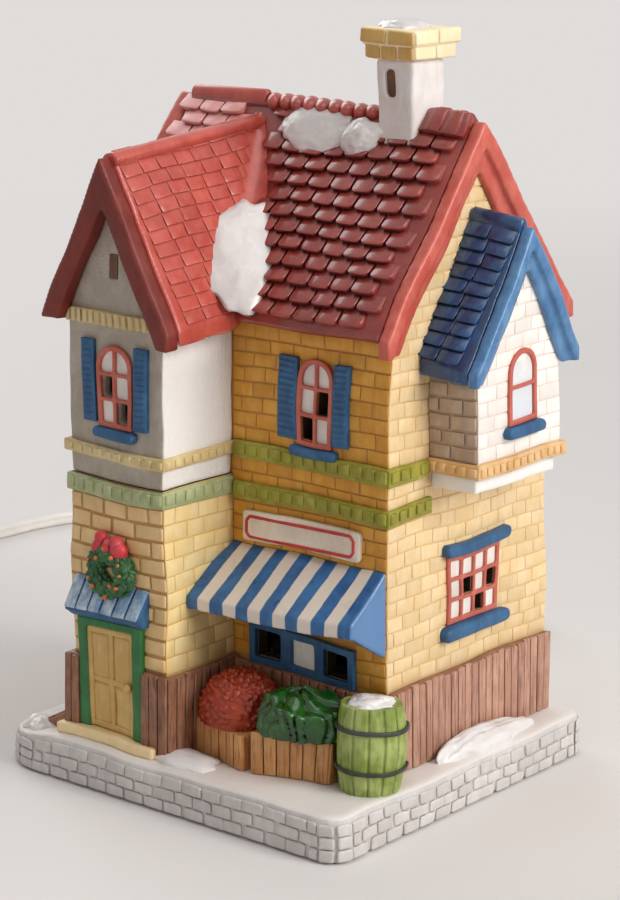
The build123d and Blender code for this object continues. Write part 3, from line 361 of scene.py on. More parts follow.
# %% Cord route
CORD_W = 5.2
FLAT = CORD_W / 4
EXIT = Vector((2.0, 84.5, 40.0))
steps = [
    (0, 0, 40.0), (0, 20, 40.0), (-4, 44, 31.5), (-14, 67, 14.0), (-30, 86, 2.6), (-57, 99, 1.6),
    (-92, 106.5, 5.0), (-158, 112, 5.0), (-194, 108, 2.0), (-226, 97, 2.4), (-248, 80, 2.6),
    (-258, 57, 2.6), (-259, 27, 2.6), (-270, 1, 2.9),
]
route = [Vector((EXIT.x + x, EXIT.y + y, z)) for x, y, z in steps]
COIL = Vector((-252.0, 28.0, 3.6))
TURNS = 6.25
COIL_R = 31.2
PITCH = 6.0
LAYER = 5.75
# The share of a turn before and after the middle in which the winding turns from inward to outward
TURNOVER = 0.25


def coil_place(turns):
    """Where the cord is after so many turns: in on the table, up a layer and out again."""
    away = abs(turns - TURNS / 2)
    wound = away if away > TURNOVER else (away**2 + TURNOVER**2) / (2 * TURNOVER)
    radius = COIL_R + PITCH * (wound - TURNS / 4)
    share = min(max((turns - TURNS / 2 + TURNOVER) / (2 * TURNOVER), 0.0), 1.0)
    height = COIL.z + LAYER * (share - math.sin(math.tau * share) / math.tau)
    angle = math.pi + math.tau * turns
    return Vector((COIL.x + radius * math.cos(angle), COIL.y + radius * math.sin(angle), height))


start_way = (coil_place(0.001) - coil_place(0)).normalized()
end_way = (coil_place(TURNS) - coil_place(TURNS - 0.001)).normalized()
route += [coil_place(0) - start_way * far for far in (29.2, 5.2)]
PER_TURN = 16
route += [coil_place(i / PER_TURN) for i in range(int(TURNS * PER_TURN) + 1)]
tail = coil_place(TURNS) + end_way * 5.2
PLUG_Z = 7.5
rise = PLUG_Z - tail.z
for far, aside, up_by in ((0.0, 0.0, 0.0), (16.0, 0.0, 0.0), (32.0, -2.5, rise), (47.0, -6.0, rise)):
    route.append(tail + end_way * far + Vector((0.0, aside, up_by)))

line = bpy.data.curves.new("cord_line", "CURVE")
line.dimensions = "3D"
line.resolution_u = 6
spline = line.splines.new("NURBS")
spline.points.add(len(route) - 1)
for point, place in zip(spline.points, route):
    point.co = (*at(*place), 1.0)
spline.order_u = 3
spline.use_endpoint_u = True
line_ob = bpy.data.objects.new("cord_line", line)
bpy.context.scene.collection.objects.link(line_ob)
bpy.context.view_layer.update()
read = bpy.data.meshes.new_from_object(line_ob.evaluated_get(bpy.context.evaluated_depsgraph_get()))
path = [v.co.copy() for v in read.vertices]
bpy.data.objects.remove(line_ob)
cord_length = sum((b - a).length for a, b in zip(path, path[1:]))
print("cord points", len(path), "length", round(cord_length, 3))

# %% Flat twin cord along the route
RING = 8
outline = []
for side in (1, -1):
    for i in range(RING):
        a = -0.35 * math.tau + (i / (RING - 1)) * 0.7 * math.tau
        outline.append(Vector((side * (FLAT + FLAT * math.cos(a) * 0.98), side * FLAT * math.sin(a))))


def nearest(place):
    """The number of the path's point that is nearest to a place."""
    return min(range(len(path)), key=lambda i: (path[i] - at(*place)).length)


# The cord lies flat up to one point of its route, stands on its edge from another, and at its tail lies down
flat_to, edge_from, tail_from = nearest(route[8]), nearest(route[10]), nearest(tail)
rings = []
for i, p in enumerate(path):
    way = (path[min(i + 1, len(path) - 1)] - path[max(i - 1, 0)]).normalized()
    side = way.cross(UPWARD).normalized()
    over = side.cross(way)
    roll = min(max((i - flat_to) / (edge_from - flat_to), 0.0), 1.0)
    if i > tail_from:
        roll = max(1.0 - (i - tail_from) / (0.7 * (len(path) - tail_from)), 0.0)
    roll = math.radians(90.0) * (3 * roll**2 - 2 * roll**3)
    wide = side * math.cos(roll) + over * math.sin(roll)
    thin = over * math.cos(roll) - side * math.sin(roll)
    rings.append([p + wide * q.x * MM + thin * q.y * MM for q in outline])
points = [q for ring in rings for q in ring]
count = len(outline)
faces = []
for r in range(len(rings) - 1):
    for k in range(count):
        a, b = r * count + k, r * count + (k + 1) % count
        faces.append((a, b, b + count, a + count))
faces.append(tuple(range(count))[::-1])
faces.append(tuple((len(rings) - 1) * count + k for k in range(count)))
cord_mesh = bpy.data.meshes.new("twin_cord")
cord_mesh.from_pydata(points, [], faces)
cord = bpy.data.objects.new("twin_cord", cord_mesh)
bpy.context.scene.collection.objects.link(cord)
smooth(face_outward(cord), 60.0)
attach(cord, "light_set")
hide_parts("cord_lead", "cord_coil", "cord_tail")
print("cord faces", len(cord_mesh.polygons))

# %% [markdown]
# Fired paint is never one flat colour. The brush leaves it thick and thin, every groove and hollow is
# darkened by how shut in it is, as painted shade, and raised edges are lightened, partly as worn paint
# showing the pale body and partly as painted highlight. One node group mixes these for every finish, from
# noise in the object's own space and from how deep a spot lies in the shape, so each material only sets its
# own colours and amounts.


# %% Node group of the fired paint
def link(tree, source, target):
    """Joins an output socket to an input socket."""
    tree.links.new(source, target)


def rgb(r, g, b):
    """A colour as it is seen on a screen, from 0 to 255, made linear."""
    out = []
    for c in (r, g, b):
        c = c / 255
        out.append(c / 12.92 if c <= 0.04045 else ((c + 0.055) / 1.055) ** 2.4)
    return (*out, 1.0)


def add_node(tree, kind, **values):
    """A node with its settings; a name that starts with in_ sets the input of that number."""
    node = tree.nodes.new("ShaderNode" + kind)
    for key, value in values.items():
        if key.startswith("in_"):
            node.inputs[int(key[3:])].default_value = value
        else:
            setattr(node, key, value)
    return node


def set_inputs(node, values):
    """Sets inputs of a node by their labels."""
    for label, value in values.items():
        node.inputs[label].default_value = value


def flat_colour(tree, colour):
    """A socket with one plain colour."""
    node = add_node(tree, "RGB")
    node.outputs[0].default_value = rgb(*colour)
    return node.outputs[0]


def mix_colour(tree, amount, first, second):
    """Mixes two colour sockets by an amount socket."""
    node = add_node(tree, "Mix", data_type="RGBA")
    link(tree, amount, node.inputs[0])
    link(tree, first, node.inputs[6])
    link(tree, second, node.inputs[7])
    return node.outputs[2]


def sum_of(tree, operation, first, second, clamp=False):
    """A maths node on two values, each a socket or a plain number."""
    node = add_node(tree, "Math", operation=operation, use_clamp=clamp)
    for i, value in enumerate((first, second)):
        if hasattr(value, "node"):
            link(tree, value, node.inputs[i])
        else:
            node.inputs[i].default_value = value
    return node.outputs[0]


def spread(tree, value, low, high):
    """A value stretched from a range to 0 to 1, with soft ends."""
    node = add_node(tree, "MapRange", interpolation_type="SMOOTHSTEP", in_1=low, in_2=high)
    link(tree, value, node.inputs[0])
    return node.outputs[0]


def noise(tree, place, scale, detail=3.0, rough=0.55, stretch=None):
    """Noise in the object's space, stretched where a brush or grain has a direction."""
    node = add_node(tree, "TexNoise")
    set_inputs(node, {"Scale": scale, "Detail": detail, "Roughness": rough})
    if stretch:
        bend = add_node(tree, "Mapping", vector_type="POINT")
        bend.inputs["Scale"].default_value = stretch
        link(tree, place, bend.inputs["Vector"])
        place = bend.outputs["Vector"]
    link(tree, place, node.inputs["Vector"])
    return node.outputs["Fac"]


def new_group(name, inputs, outputs):
    """An empty node group with its sockets, and its two end nodes."""
    group = bpy.data.node_groups.new(name, "ShaderNodeTree")
    for label, kind, value in inputs:
        socket = group.interface.new_socket(name=label, in_out="INPUT", socket_type=kind)
        socket.default_value = value
    for label, kind in outputs:
        group.interface.new_socket(name=label, in_out="OUTPUT", socket_type=kind)
    return group, group.nodes.new("NodeGroupInput"), group.nodes.new("NodeGroupOutput")


COLOUR, VALUE = "NodeSocketColor", "NodeSocketFloat"
fired, fired_in, fired_out = new_group(
    "fired_paint",
    [("Paint", COLOUR, (0.5, 0.5, 0.5, 1)), ("Thin", COLOUR, (0.6, 0.6, 0.6, 1)),
     ("Painted Shade", COLOUR, (0.2, 0.1, 0.05, 1)), ("Edge", COLOUR, (0.8, 0.8, 0.8, 1)),
     ("Painted Shade Amount", VALUE, 0.7), ("Edge Amount", VALUE, 0.3), ("Depth", VALUE, 0.0014),
     ("Rough Low", VALUE, 0.35), ("Rough High", VALUE, 0.6)],
    [("Color", COLOUR), ("Roughness", VALUE), ("Height", VALUE)],
)
spot = fired.nodes.new("ShaderNodeTexCoord").outputs["Object"]
patch = noise(fired, spot, 130.0, 4.0)
speck = noise(fired, spot, 1300.0, 2.0)
brush = noise(fired, spot, 420.0, 3.0, 0.6, (1.0, 1.0, 0.35))
thick = sum_of(fired, "ADD", sum_of(fired, "MULTIPLY", patch, 0.6), sum_of(fired, "MULTIPLY", brush, 0.4))
thin = spread(fired, thick, 0.40, 0.64)
colour = mix_colour(fired, thin, fired_in.outputs["Paint"], fired_in.outputs["Thin"])
tone = add_node(fired, "Attribute", attribute_name="tone").outputs["Fac"]
shade = add_node(fired, "HueSaturation")
link(fired, sum_of(fired, "ADD", 1.0, sum_of(fired, "MULTIPLY", tone, 0.15)), shade.inputs["Value"])
link(fired, colour, shade.inputs["Color"])
colour = shade.outputs["Color"]
# Painted shade: grooves and hollows darken by how shut in they are, read from occlusion.
deep = add_node(fired, "AmbientOcclusion", samples=8, only_local=True)
link(fired, fired_in.outputs["Depth"], deep.inputs["Distance"])
painted_shade = sum_of(fired, "SUBTRACT", 1.0, deep.outputs["AO"], True)
painted_shade = sum_of(fired, "ADD", painted_shade, sum_of(fired, "MULTIPLY", sum_of(fired, "SUBTRACT", speck, 0.5), 0.25))
painted_shade = sum_of(fired, "MULTIPLY", spread(fired, painted_shade, 0.12, 0.62), fired_in.outputs["Painted Shade Amount"], True)
colour = mix_colour(fired, painted_shade, colour, fired_in.outputs["Painted Shade"])
# Raised edges are lightened: partly worn paint showing the pale body, partly painted highlight.
rim = add_node(fired, "AmbientOcclusion", samples=8, only_local=True, inside=True)
set_inputs(rim, {"Distance": 0.6 * MM})
worn_and_highlit_edge = sum_of(fired, "SUBTRACT", 1.0, rim.outputs["AO"], True)
worn_and_highlit_edge = sum_of(fired, "MULTIPLY", spread(fired, worn_and_highlit_edge, 0.30, 0.80), spread(fired, patch, 0.30, 0.62))
worn_and_highlit_edge = sum_of(fired, "MULTIPLY", worn_and_highlit_edge, fired_in.outputs["Edge Amount"], True)
colour = mix_colour(fired, worn_and_highlit_edge, colour, fired_in.outputs["Edge"])
link(fired, colour, fired_out.inputs["Color"])
rough = add_node(fired, "MapRange", in_1=0.3, in_2=0.7)
link(fired, patch, rough.inputs[0])
link(fired, fired_in.outputs["Rough Low"], rough.inputs[3])
link(fired, fired_in.outputs["Rough High"], rough.inputs[4])
link(fired, rough.outputs[0], fired_out.inputs["Roughness"])
link(fired, sum_of(fired, "ADD", sum_of(fired, "MULTIPLY", speck, 0.5), brush), fired_out.inputs["Height"])
print("group", fired.name, len(fired.nodes), "nodes")


# %% A material of fired paint
def paint(name, face, thin=None, shade_colour=None, edge=None, amounts=(0.7, 0.3), depth=1.4, gloss=(0.38, 0.6),
          coat=0.0, bump=0.12, over=None):
    """A material of the fired paint; over(tree, colour) may paint more on it and returns its colour."""
    thin = thin or tuple(min(c * 1.22 + 4, 255) for c in face)
    # The third colour is the painted shade laid into grooves and hollows.
    shade_colour = shade_colour or tuple(c * 0.42 for c in face)
    edge = edge or tuple(c + (250 - c) * 0.45 for c in face)
    mat = bpy.data.materials.new(name)
    mat.use_nodes = True
    tree = mat.node_tree
    shader = tree.nodes["Principled BSDF"]
    mixer = tree.nodes.new("ShaderNodeGroup")
    mixer.node_tree = fired
    set_inputs(mixer, {
        "Paint": rgb(*face), "Thin": rgb(*thin), "Painted Shade": rgb(*shade_colour), "Edge": rgb(*edge),
        "Painted Shade Amount": amounts[0], "Edge Amount": amounts[1], "Depth": depth * MM,
        "Rough Low": gloss[0], "Rough High": gloss[1],
    })
    colour = mixer.outputs["Color"]
    if over:
        colour = over(tree, colour)
    link(tree, colour, shader.inputs["Base Color"])
    link(tree, mixer.outputs["Roughness"], shader.inputs["Roughness"])
    set_inputs(shader, {"Coat Weight": coat, "Coat Roughness": 0.12, "Specular IOR Level": 0.4})
    rise = add_node(tree, "Bump")
    set_inputs(rise, {"Strength": bump, "Distance": 0.6 * MM})
    link(tree, mixer.outputs["Height"], rise.inputs["Height"])
    link(tree, rise.outputs["Normal"], shader.inputs["Normal"])
    return mat


def wood_lines(*dark):
    """Paints upright lines of wood grain in a dark colour."""

    def over(tree, base):
        coords = tree.nodes.new("ShaderNodeTexCoord").outputs["Object"]
        lines = noise(tree, coords, 1250.0, 3.0, 0.6, (1.0, 1.0, 0.07))
        amount = sum_of(tree, "MULTIPLY", spread(tree, lines, 0.48, 0.68), 0.75)
        return mix_colour(tree, amount, base, flat_colour(tree, dark))

    return over


# %% [markdown]
# The painter's table: every colour on the house. Glazed pieces get a coat on top, as the dark roof, the
# leaves and the snow have. Walls keep a satin face.

# %% Paints
STONE = ((202, 196, 193), (214, 209, 206), (134, 127, 124))
stone_paint = paint("stone_grey", *STONE, amounts=(0.75, 0.2), depth=2.0)
ochre_paint = paint("front_brick_ochre", (204, 140, 44), (216, 160, 66), (154, 96, 32), amounts=(0.6, 0.2),
                    depth=0.8)
LOW_RELIEF = {"amounts": (0.5, 0.2), "depth": 0.8}
pale_paint = paint("side_brick_pale", (230, 199, 148), (236, 210, 168), (206, 168, 114), **LOW_RELIEF)
warm_paint = paint("wing_side_yellow", (238, 208, 142), (242, 218, 164), (212, 172, 108), **LOW_RELIEF)
cream_brick = paint("bay_brick_white", (240, 230, 222), (244, 238, 232), (222, 208, 196), **LOW_RELIEF)
tan_paint = paint("wing_brick_tan", (226, 188, 130), (234, 202, 150), (166, 122, 72), amounts=(0.8, 0.3))
grey_brick = paint("bay_brick_grey", (172, 147, 124), (190, 168, 147), (108, 84, 64), (236, 226, 214),
                   (0.9, 0.7))
white_paint = paint("plain_white", (240, 236, 232), (245, 242, 239), (200, 190, 182), gloss=(0.4, 0.6))
plank_paint = paint("plank_brown", (142, 95, 70), (166, 119, 92), (66, 38, 26), (190, 150, 126), (0.9, 0.5),
                    over=wood_lines(84, 50, 36))
lime_paint = paint("band_lime", (138, 132, 40), (162, 156, 64), (84, 78, 24), amounts=(0.8, 0.4))
sage_paint = paint("band_sage", (164, 172, 122), (186, 192, 152), (112, 112, 72), amounts=(0.9, 0.4))
dentil_paint = paint("band_tan", (208, 184, 130), (222, 202, 156), (128, 98, 56), amounts=(1.0, 0.3))
orange_paint = paint("bay_band_orange", (214, 168, 108), (226, 188, 140), (188, 128, 68), amounts=(0.6, 0.3))
roof_red = paint("roof_brick_red", (130, 42, 34), (148, 56, 46), (56, 12, 10), (190, 100, 92), (1.0, 0.3),
                 depth=2.0, gloss=(0.26, 0.42), coat=0.6, bump=0.06)
roof_coral = paint("roof_coral", (178, 72, 60), (192, 88, 76), (124, 40, 34), (222, 150, 140), (0.6, 0.5),
                   depth=0.9, gloss=(0.3, 0.46), coat=0.4, bump=0.08)
# The main roof's left tiles: pink paint with worn pale edges, lightened further as painted highlight.
roof_pink_and_highlight = paint("roof_pink_and_highlight", (224, 150, 144), (234, 176, 171), (160, 76, 70), (240, 196, 188), (0.85, 0.8),
                  gloss=(0.3, 0.5), coat=0.2, bump=0.08)
roof_navy = paint("roof_navy", (16, 52, 92), (26, 72, 118), (6, 22, 46), (110, 156, 196), (0.9, 0.45),
                  gloss=(0.18, 0.3), coat=0.5, bump=0.05)
barge_salmon = paint("barge_salmon", (190, 82, 68), (204, 102, 86), (134, 46, 38), amounts=(0.8, 0.4),
                     gloss=(0.3, 0.5), coat=0.2)
barge_brown = paint("barge_brown_red", (108, 34, 26), (126, 48, 38), (68, 20, 16), amounts=(0.8, 0.35))
barge_blue = paint("barge_blue", (62, 112, 160), (92, 138, 180), (34, 70, 112), (206, 220, 232), (0.8, 0.6),
                   gloss=(0.25, 0.4), coat=0.3)
trim_blue = paint("trim_blue", (38, 82, 122), (56, 102, 142), (16, 42, 70), (130, 162, 190), (0.9, 0.45))
frame_red = paint("frame_red", (186, 92, 76), (200, 112, 96), (126, 50, 40), (226, 160, 146), (0.7, 0.5))
door_tan = paint("door_tan", (204, 165, 96), (218, 184, 118), (134, 90, 42), amounts=(0.9, 0.3))
# The step's tan is its own pale colour, made lighter still as painted light against the shade it lies in.
step_tan_painted_lighter = paint("step_tan_painted_lighter", (240, 212, 160), (244, 222, 174), (168, 124, 68), amounts=(0.8, 0.35))
door_green = paint("door_green", (44, 106, 56), (58, 124, 68), (20, 58, 30), (120, 166, 110), (0.8, 0.4))
leaf_green = paint("wreath_green", (44, 88, 52), (62, 112, 64), (16, 40, 24), (120, 150, 96), (1.0, 0.4),
                   depth=2.0)
bow_red = paint("bow_red", (196, 44, 54), (212, 70, 76), (120, 20, 28), (232, 130, 128), (0.8, 0.4), coat=0.2)
berry_orange = paint("berry_orange", (190, 104, 52), (206, 128, 72), (120, 60, 30))
crate_tan = paint("crate_tan", (200, 140, 84), (214, 162, 108), (108, 58, 28), (226, 190, 146), (1.0, 0.4),
                  over=wood_lines(150, 92, 48))
heap_red = paint("heap_red", (140, 40, 10), (162, 56, 20), (72, 24, 8), (200, 92, 48), (1.0, 0.5),
                 depth=1.0, coat=0.2)
heap_green = paint("heap_green", (14, 62, 10), (28, 90, 24), (4, 26, 4), (60, 124, 50), (1.0, 0.3), depth=2.4,
                   gloss=(0.2, 0.34), coat=0.4)
barrel_lime = paint("barrel_lime", (122, 140, 58), (168, 180, 108), (72, 90, 28), (222, 230, 190), (0.9, 0.5))
hoop_dark = paint("hoop_dark", (48, 50, 46), (66, 68, 62), (22, 22, 20), (110, 112, 104))
SNOW_LOOK = {"amounts": (0.5, 0.1), "depth": 3.0, "bump": 0.05}
snow_paint = paint("snow_white", (208, 202, 199), (216, 211, 209), (176, 166, 162), gloss=(0.2, 0.35),
                   coat=0.4, **SNOW_LOOK)
# A lighter copy of the snow white, used for the snow on the base.
lighter_snow = paint("snow_lighter_copy", (228, 223, 221), (234, 230, 229), (188, 178, 174), gloss=(0.25, 0.4),
                   coat=0.3, **SNOW_LOOK)
chimney_white = paint("chimney_white", (226, 220, 216), (234, 230, 228), (176, 162, 152), gloss=(0.4, 0.6),
                      bump=0.6)
cap_ochre = paint("cap_ochre", (202, 160, 86), (214, 178, 110), (140, 92, 44), (240, 222, 178), (0.9, 0.5))
cap_pale = paint("cap_pale", (238, 220, 180), (242, 229, 196), (196, 160, 100), amounts=(0.6, 0.3))
sign_cream = paint("sign_cream", (224, 208, 188), (232, 220, 204), (166, 142, 116), amounts=(0.7, 0.2))
border_red = paint("border_red", (180, 44, 48), (196, 66, 66), (120, 24, 28))
# A dark brown used as painted shadow in slots.
painted_shadow_brown = paint("painted_shadow_brown", (92, 62, 44), (112, 78, 56), (40, 26, 18), amounts=(0.8, 0.1))
print("paints", len(bpy.data.materials))

# %% [markdown]
# Brickwork. On the cast house each brick is a low cushion with a groove round it. One brick is modelled
# with rounded edges and then copied into courses, each copy stretched to its place, so that courses can
# stop at a window and break joint as a mason's do. The plain wall behind is painted as the groove.


# %% Brick masters and courses
def flat_master(name, wide, high, thick, bevel, segments=2):
    """A brick or tile that stands on the plane y = 0, sunk a little into it, its face towards -y."""
    return add_block(name, Vector((-wide, -2 * thick, -high)) * MM / 2,
                     Vector((wide, 1.0, high)) * MM / 2, bevel * MM, segments)


def course_places(rng, u0, u1, v0, v1, wide, high, joint, gaps=()):
    """Middles and sizes of the bricks between u0 and u1, course by course, left out where a gap is."""
    rows = max(1, round((v1 - v0) / high))
    pitch = (v1 - v0) / rows
    places = []
    for row in range(rows):
        low = v0 + row * pitch
        first = u0 + (row % 2) * wide / 2 + rng.uniform(-0.12, 0.12) * wide
        spans = [(u0, u1)]
        for a, b, c, d in gaps:
            if c < low + 0.75 * pitch and d > low + 0.25 * pitch:
                parts = [q for s, e in spans for q in ((s, min(e, a)), (max(s, b), e))]
                spans = [q for q in parts if q[1] - q[0] > 0.2 * wide]
        for s, e in spans:
            cuts = [s]
            k = math.floor((s - first) / wide)
            while first + k * wide < e - 0.3 * wide:
                cut = first + k * wide + rng.uniform(-0.1, 0.1) * wide
                if cut > cuts[-1] + 0.35 * wide:
                    cuts.append(cut)
                k += 1
            cuts.append(e)
            for a, b in zip(cuts, cuts[1:]):
                places.append(((a + b) / 2, low + pitch / 2, b - a - 0.7 * joint, pitch - joint))
    return places


def lay_wall(name, master, corner, along, places, seed, upward=UPWARD, rough=0.1):
    """Copies the master to each place on a plane and welds them."""
    rng = random.Random(seed)
    copies = []
    for u, v, wide, high in places:
        origin = corner + along * (u * MM) + upward * (v * MM)
        wide *= rng.uniform(1 - 0.4 * rough, 1.0)
        high *= rng.uniform(1 - 0.6 * rough, 1.0)
        copies.append(lay_copy(master, origin, along, upward, wide * MM, high * MM,
                               rng.uniform(-0.5, 0.5), rng.uniform(1 - rough, 1 + rough)))
    return smooth(weld(name, copies), 50.0)


flush_brick = flat_master("flush_brick", 8.0, 4.4, 0.26, 0.22, 2)
pillow_brick = flat_master("pillow_brick", 9.5, 5.2, 0.6, 0.5, 3)
dice = random.Random(7)

# %% [markdown]
# The wall behind the bricks is one solid, and its groove colour changes with the face: brown on the
# ochre front, light on the other walls. A smooth step on the object's own coordinates makes the change.
# Glaze fills the solid's deep course grooves, so a copy of the wall has them brought out to its face.


# %% Groove paints and the walls' solids
def by_face(*faces):
    """Paints outer faces in other colours: an axis, a hand along it, how far out in millimetres, a colour."""

    def over(tree, base):
        coords = add_node(tree, "TexCoord")
        spot, normal = add_node(tree, "SeparateXYZ"), add_node(tree, "SeparateXYZ")
        link(tree, coords.outputs["Object"], spot.inputs[0])
        link(tree, coords.outputs["Normal"], normal.inputs[0])
        for axis, hand, reach, colour in faces:
            far = sum_of(tree, "MULTIPLY", spot.outputs[axis], hand)
            turned = sum_of(tree, "MULTIPLY", normal.outputs[axis], hand)
            beyond = spread(tree, far, (reach - 1) * MM, reach * MM)
            outer = sum_of(tree, "MULTIPLY", beyond, spread(tree, turned, 0.5, 0.7))
            base = mix_colour(tree, outer, base, flat_colour(tree, colour))
        return base

    return over


OCHRE_LINE, PALE_LINE, BAY_LINE = (184, 130, 60), (226, 194, 138), (226, 214, 204)
WING_LINE, WARM_LINE, GREY_LINE = (192, 148, 94), (222, 186, 120), (176, 154, 134)
INSIDE = ((58, 44, 36), (74, 58, 46), (30, 22, 18))
main_groove = paint("main_groove", *INSIDE, over=by_face(
    (0, 1, 52, PALE_LINE), (0, -1, 57, PALE_LINE), (1, 1, 55, PALE_LINE), (1, -1, 23, OCHRE_LINE)))
wing_groove = paint("wing_groove", *INSIDE, over=by_face(
    (0, 1, -9, WARM_LINE), (0, -1, 45, WARM_LINE), (1, -1, 54, WING_LINE)))
bay_groove = paint("bay_groove", *INSIDE, over=by_face(
    (1, -1, 4, GREY_LINE), (1, 1, 35, GREY_LINE), (0, 1, 70, BAY_LINE)))
CUT = 7.0
for name, slot, groove in (
    ("wing_ground_walls", "tan_brick", wing_groove), ("bay_walls", "white_brick", bay_groove),
):
    finish_piece(add_cuts(copy_of(name), CUT), slot, groove, name)
pointed = copy_of("main_walls")
GROOVE, SHALLOW = 0.5, 0.08
for axis, face, out in ((0, 58.0, 1), (0, -54.0, -1), (1, 57.0, 1), (1, -24.0, -1)):
    plane = face + SHIFT[axis]
    for v in pointed.data.vertices:
        if abs(v.co[axis] / MM - (plane - out * GROOVE)) < 0.02:
            v.co[axis] = (plane - out * SHALLOW) * MM
finish_piece(add_cuts(pointed, CUT), "yellow_brick", main_groove, "main_walls")


# %% Main front bricks
def trim_gable(ob, top, slope):
    """Cuts a wall's bricks to the two slopes that meet at its top."""
    for lean in (1, -1):
        slice_off(ob, top, Vector((0, lean * slope, 1)).normalized())
    return ob


COURSE, FIRST, EAVE_LINE = 4.6, 40.0, 150.4
front_gaps = [(24.4, 37.4, 112.6, 136.0), (5.4, 46.6, 38, 51.0)]
front = course_places(dice, -2.8, 58.0, FIRST, EAVE_LINE, 9.4, COURSE, 0.4, front_gaps)
strip = course_places(random.Random(8), -54.0, -42.4, FIRST, EAVE_LINE, 7.0, COURSE, 0.4)
for name, places, seed in (("main_front_bricks", front, 11), ("left_front_bricks", strip, 10)):
    bricks = lay_wall(name, flush_brick, at(0, -24, 0), EAST, places, seed)
    finish_piece(bricks, "yellow_brick", ochre_paint)

# %% Gable walls and back wall
# The main ridge, the slopes that fall from it, and how far under the ridge the bricks end
RIDGE_Y, RIDGE_Z, SLOPE, UNDER = 16.5, 208.0, 1.274, 5.9
top_line = FIRST + 35 * COURSE
side_gaps = [(5.0, 30.2, 54.2, 75.4), (-3.4, 35.4, 109, 142)]
side = course_places(dice, -24.0, 57.0, FIRST, top_line, 8.2, COURSE, 0.3, side_gaps)
rest = course_places(dice, -57.0, 24.0, FIRST, top_line, 8.2, COURSE, 0.3)
for name, places, corner, along, seed in (
    ("right_wall_bricks", side, at(58, 0, 0), NORTH, 12),
    ("left_wall_bricks", rest, at(-54, 0, 0), SOUTH, 13),
):
    bricks = lay_wall(name, flush_brick, corner, along, places, seed)
    trim_gable(bricks, at(0, RIDGE_Y, RIDGE_Z - UNDER), SLOPE)
    finish_piece(bricks, "yellow_brick", pale_paint)
lamp_gap = [(-20.4, 16.4, 21.8, 58.2)]
rear = course_places(dice, -58.0, 54.0, FIRST - 5 * COURSE, EAVE_LINE, 8.8, COURSE, 0.3, lamp_gap)
bricks = lay_wall("back_wall_bricks", flush_brick, at(0, 57, 0), WEST, rear, 14)
finish_piece(bricks, "yellow_brick", pale_paint)

# %% Wing and bay bricks
WING_L, WING_R, WING_F, WING_DEEP, WING_FOOT = -42.0, -3.0, -55.0, 31.0, 40.2
band_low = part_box("wing_lower_band")[0].z / MM
door_gap = [(-37.4, -11.8, 40.0, 53.0)]
places = course_places(dice, WING_L, WING_R, WING_FOOT, band_low, 9.6, 5.2, 0.4, door_gap)
bricks = lay_wall("wing_front_bricks", pillow_brick, at(0, WING_F, 0), EAST, places, 15, rough=0.28)
finish_piece(bricks, "tan_brick", tan_paint)
for name, corner, along, u0, seed in (
    ("wing_right_bricks", at(WING_R, 0, 0), NORTH, WING_F, 16),
    ("wing_left_bricks", at(WING_L, 0, 0), SOUTH, 24.0, 17),
):
    places = course_places(dice, u0, u0 + WING_DEEP, WING_FOOT, band_low, 9.2, 5.0, 0.28)
    finish_piece(lay_wall(name, flush_brick, corner, along, places, seed), "tan_brick", warm_paint)
window_gap = [(10.8, 23.2, 119.2, 137.0)]
BAY_FOOT, BAY_OUT, BAY_DEEP, BAY_NEAR, BAY_FAR, BAY_SLOPE = 109.6, 76.0, 17.8, -4.5, 36.5, 1.55
places = course_places(dice, BAY_NEAR, BAY_FAR, BAY_FOOT, 172.0, 8.6, 4.6, 0.26, window_gap)
bricks = lay_wall("bay_front_bricks", flush_brick, at(BAY_OUT, 0, 0), NORTH, places, 18)
trim_gable(bricks, at(BAY_OUT, 16, 173.4), BAY_SLOPE)
finish_piece(bricks, "white_brick", cream_brick)
sides = []
for corner, along, u0, seed in (
    (at(0, BAY_NEAR, 0), EAST, BAY_OUT - BAY_DEEP, 19), (at(0, BAY_FAR, 0), WEST, -BAY_OUT, 20),
):
    places = course_places(dice, u0, u0 + BAY_DEEP, BAY_FOOT, 142.6, 8.8, 4.8, 0.4)
    sides.append(lay_wall("bay_side", pillow_brick, corner, along, places, seed, rough=0.2))
finish_piece(weld("bay_side_bricks", sides), "white_brick", grey_brick)

# %% [markdown]
# The roofs. Each has tiles of its own: thick round-ended ones set apart on the dark front slope, flat
# close ones on the coral wing, long glossy ones on the navy bay. A tile is modelled once with its lower
# edge lifted and then laid in staggered rows on the slope. Below them lie two plain slabs on the main roof,
# and rounded copies of the solids on the two small ones.


# %% Roof slabs
def slope_slab(name, u0, u1, v0, v1, thick, bevel, angle, pivot, rise=0.0):
    """A flat slab turned about the ridge: u along it, v down the slope, thick below the roof's plane."""
    flat = add_block(name, Vector((u0, v0, -thick)) * MM, Vector((u1, v1, rise)) * MM, bevel * MM)
    flat.rotation_euler = (angle, 0, 0)
    flat.location = pivot
    bpy.ops.object.transform_apply(location=True, rotation=True, scale=True)
    return flat


# How far the slopes reach out from the ridge, level measure, and their length for each level millimetre
FRONT_OUT, BACK_OUT, THICK = 47.2, 48.2, 5.5
run = math.sqrt(1 + SLOPE**2)
pitch_angle = math.atan(SLOPE)
ridge_place = at(0, RIDGE_Y, RIDGE_Z)
slabs = [
    slope_slab("slab", -54.0, 58.0, -FRONT_OUT * run, 0.4, THICK / run, 1.2, pitch_angle, ridge_place),
    slope_slab("slab", -54.0, 58.0, -0.4, BACK_OUT * run, THICK / run, 1.2, -pitch_angle, ridge_place),
]
finish_piece(add_cuts(smooth(weld("main_roof_slabs", slabs)), CUT), "roof_red", roof_red, "main_roof")
cast("wing_roof", 0.8, "roof_coral", roof_coral, 5)
cast("bay_roof", 0.6, "roof_navy", roof_navy, 5)


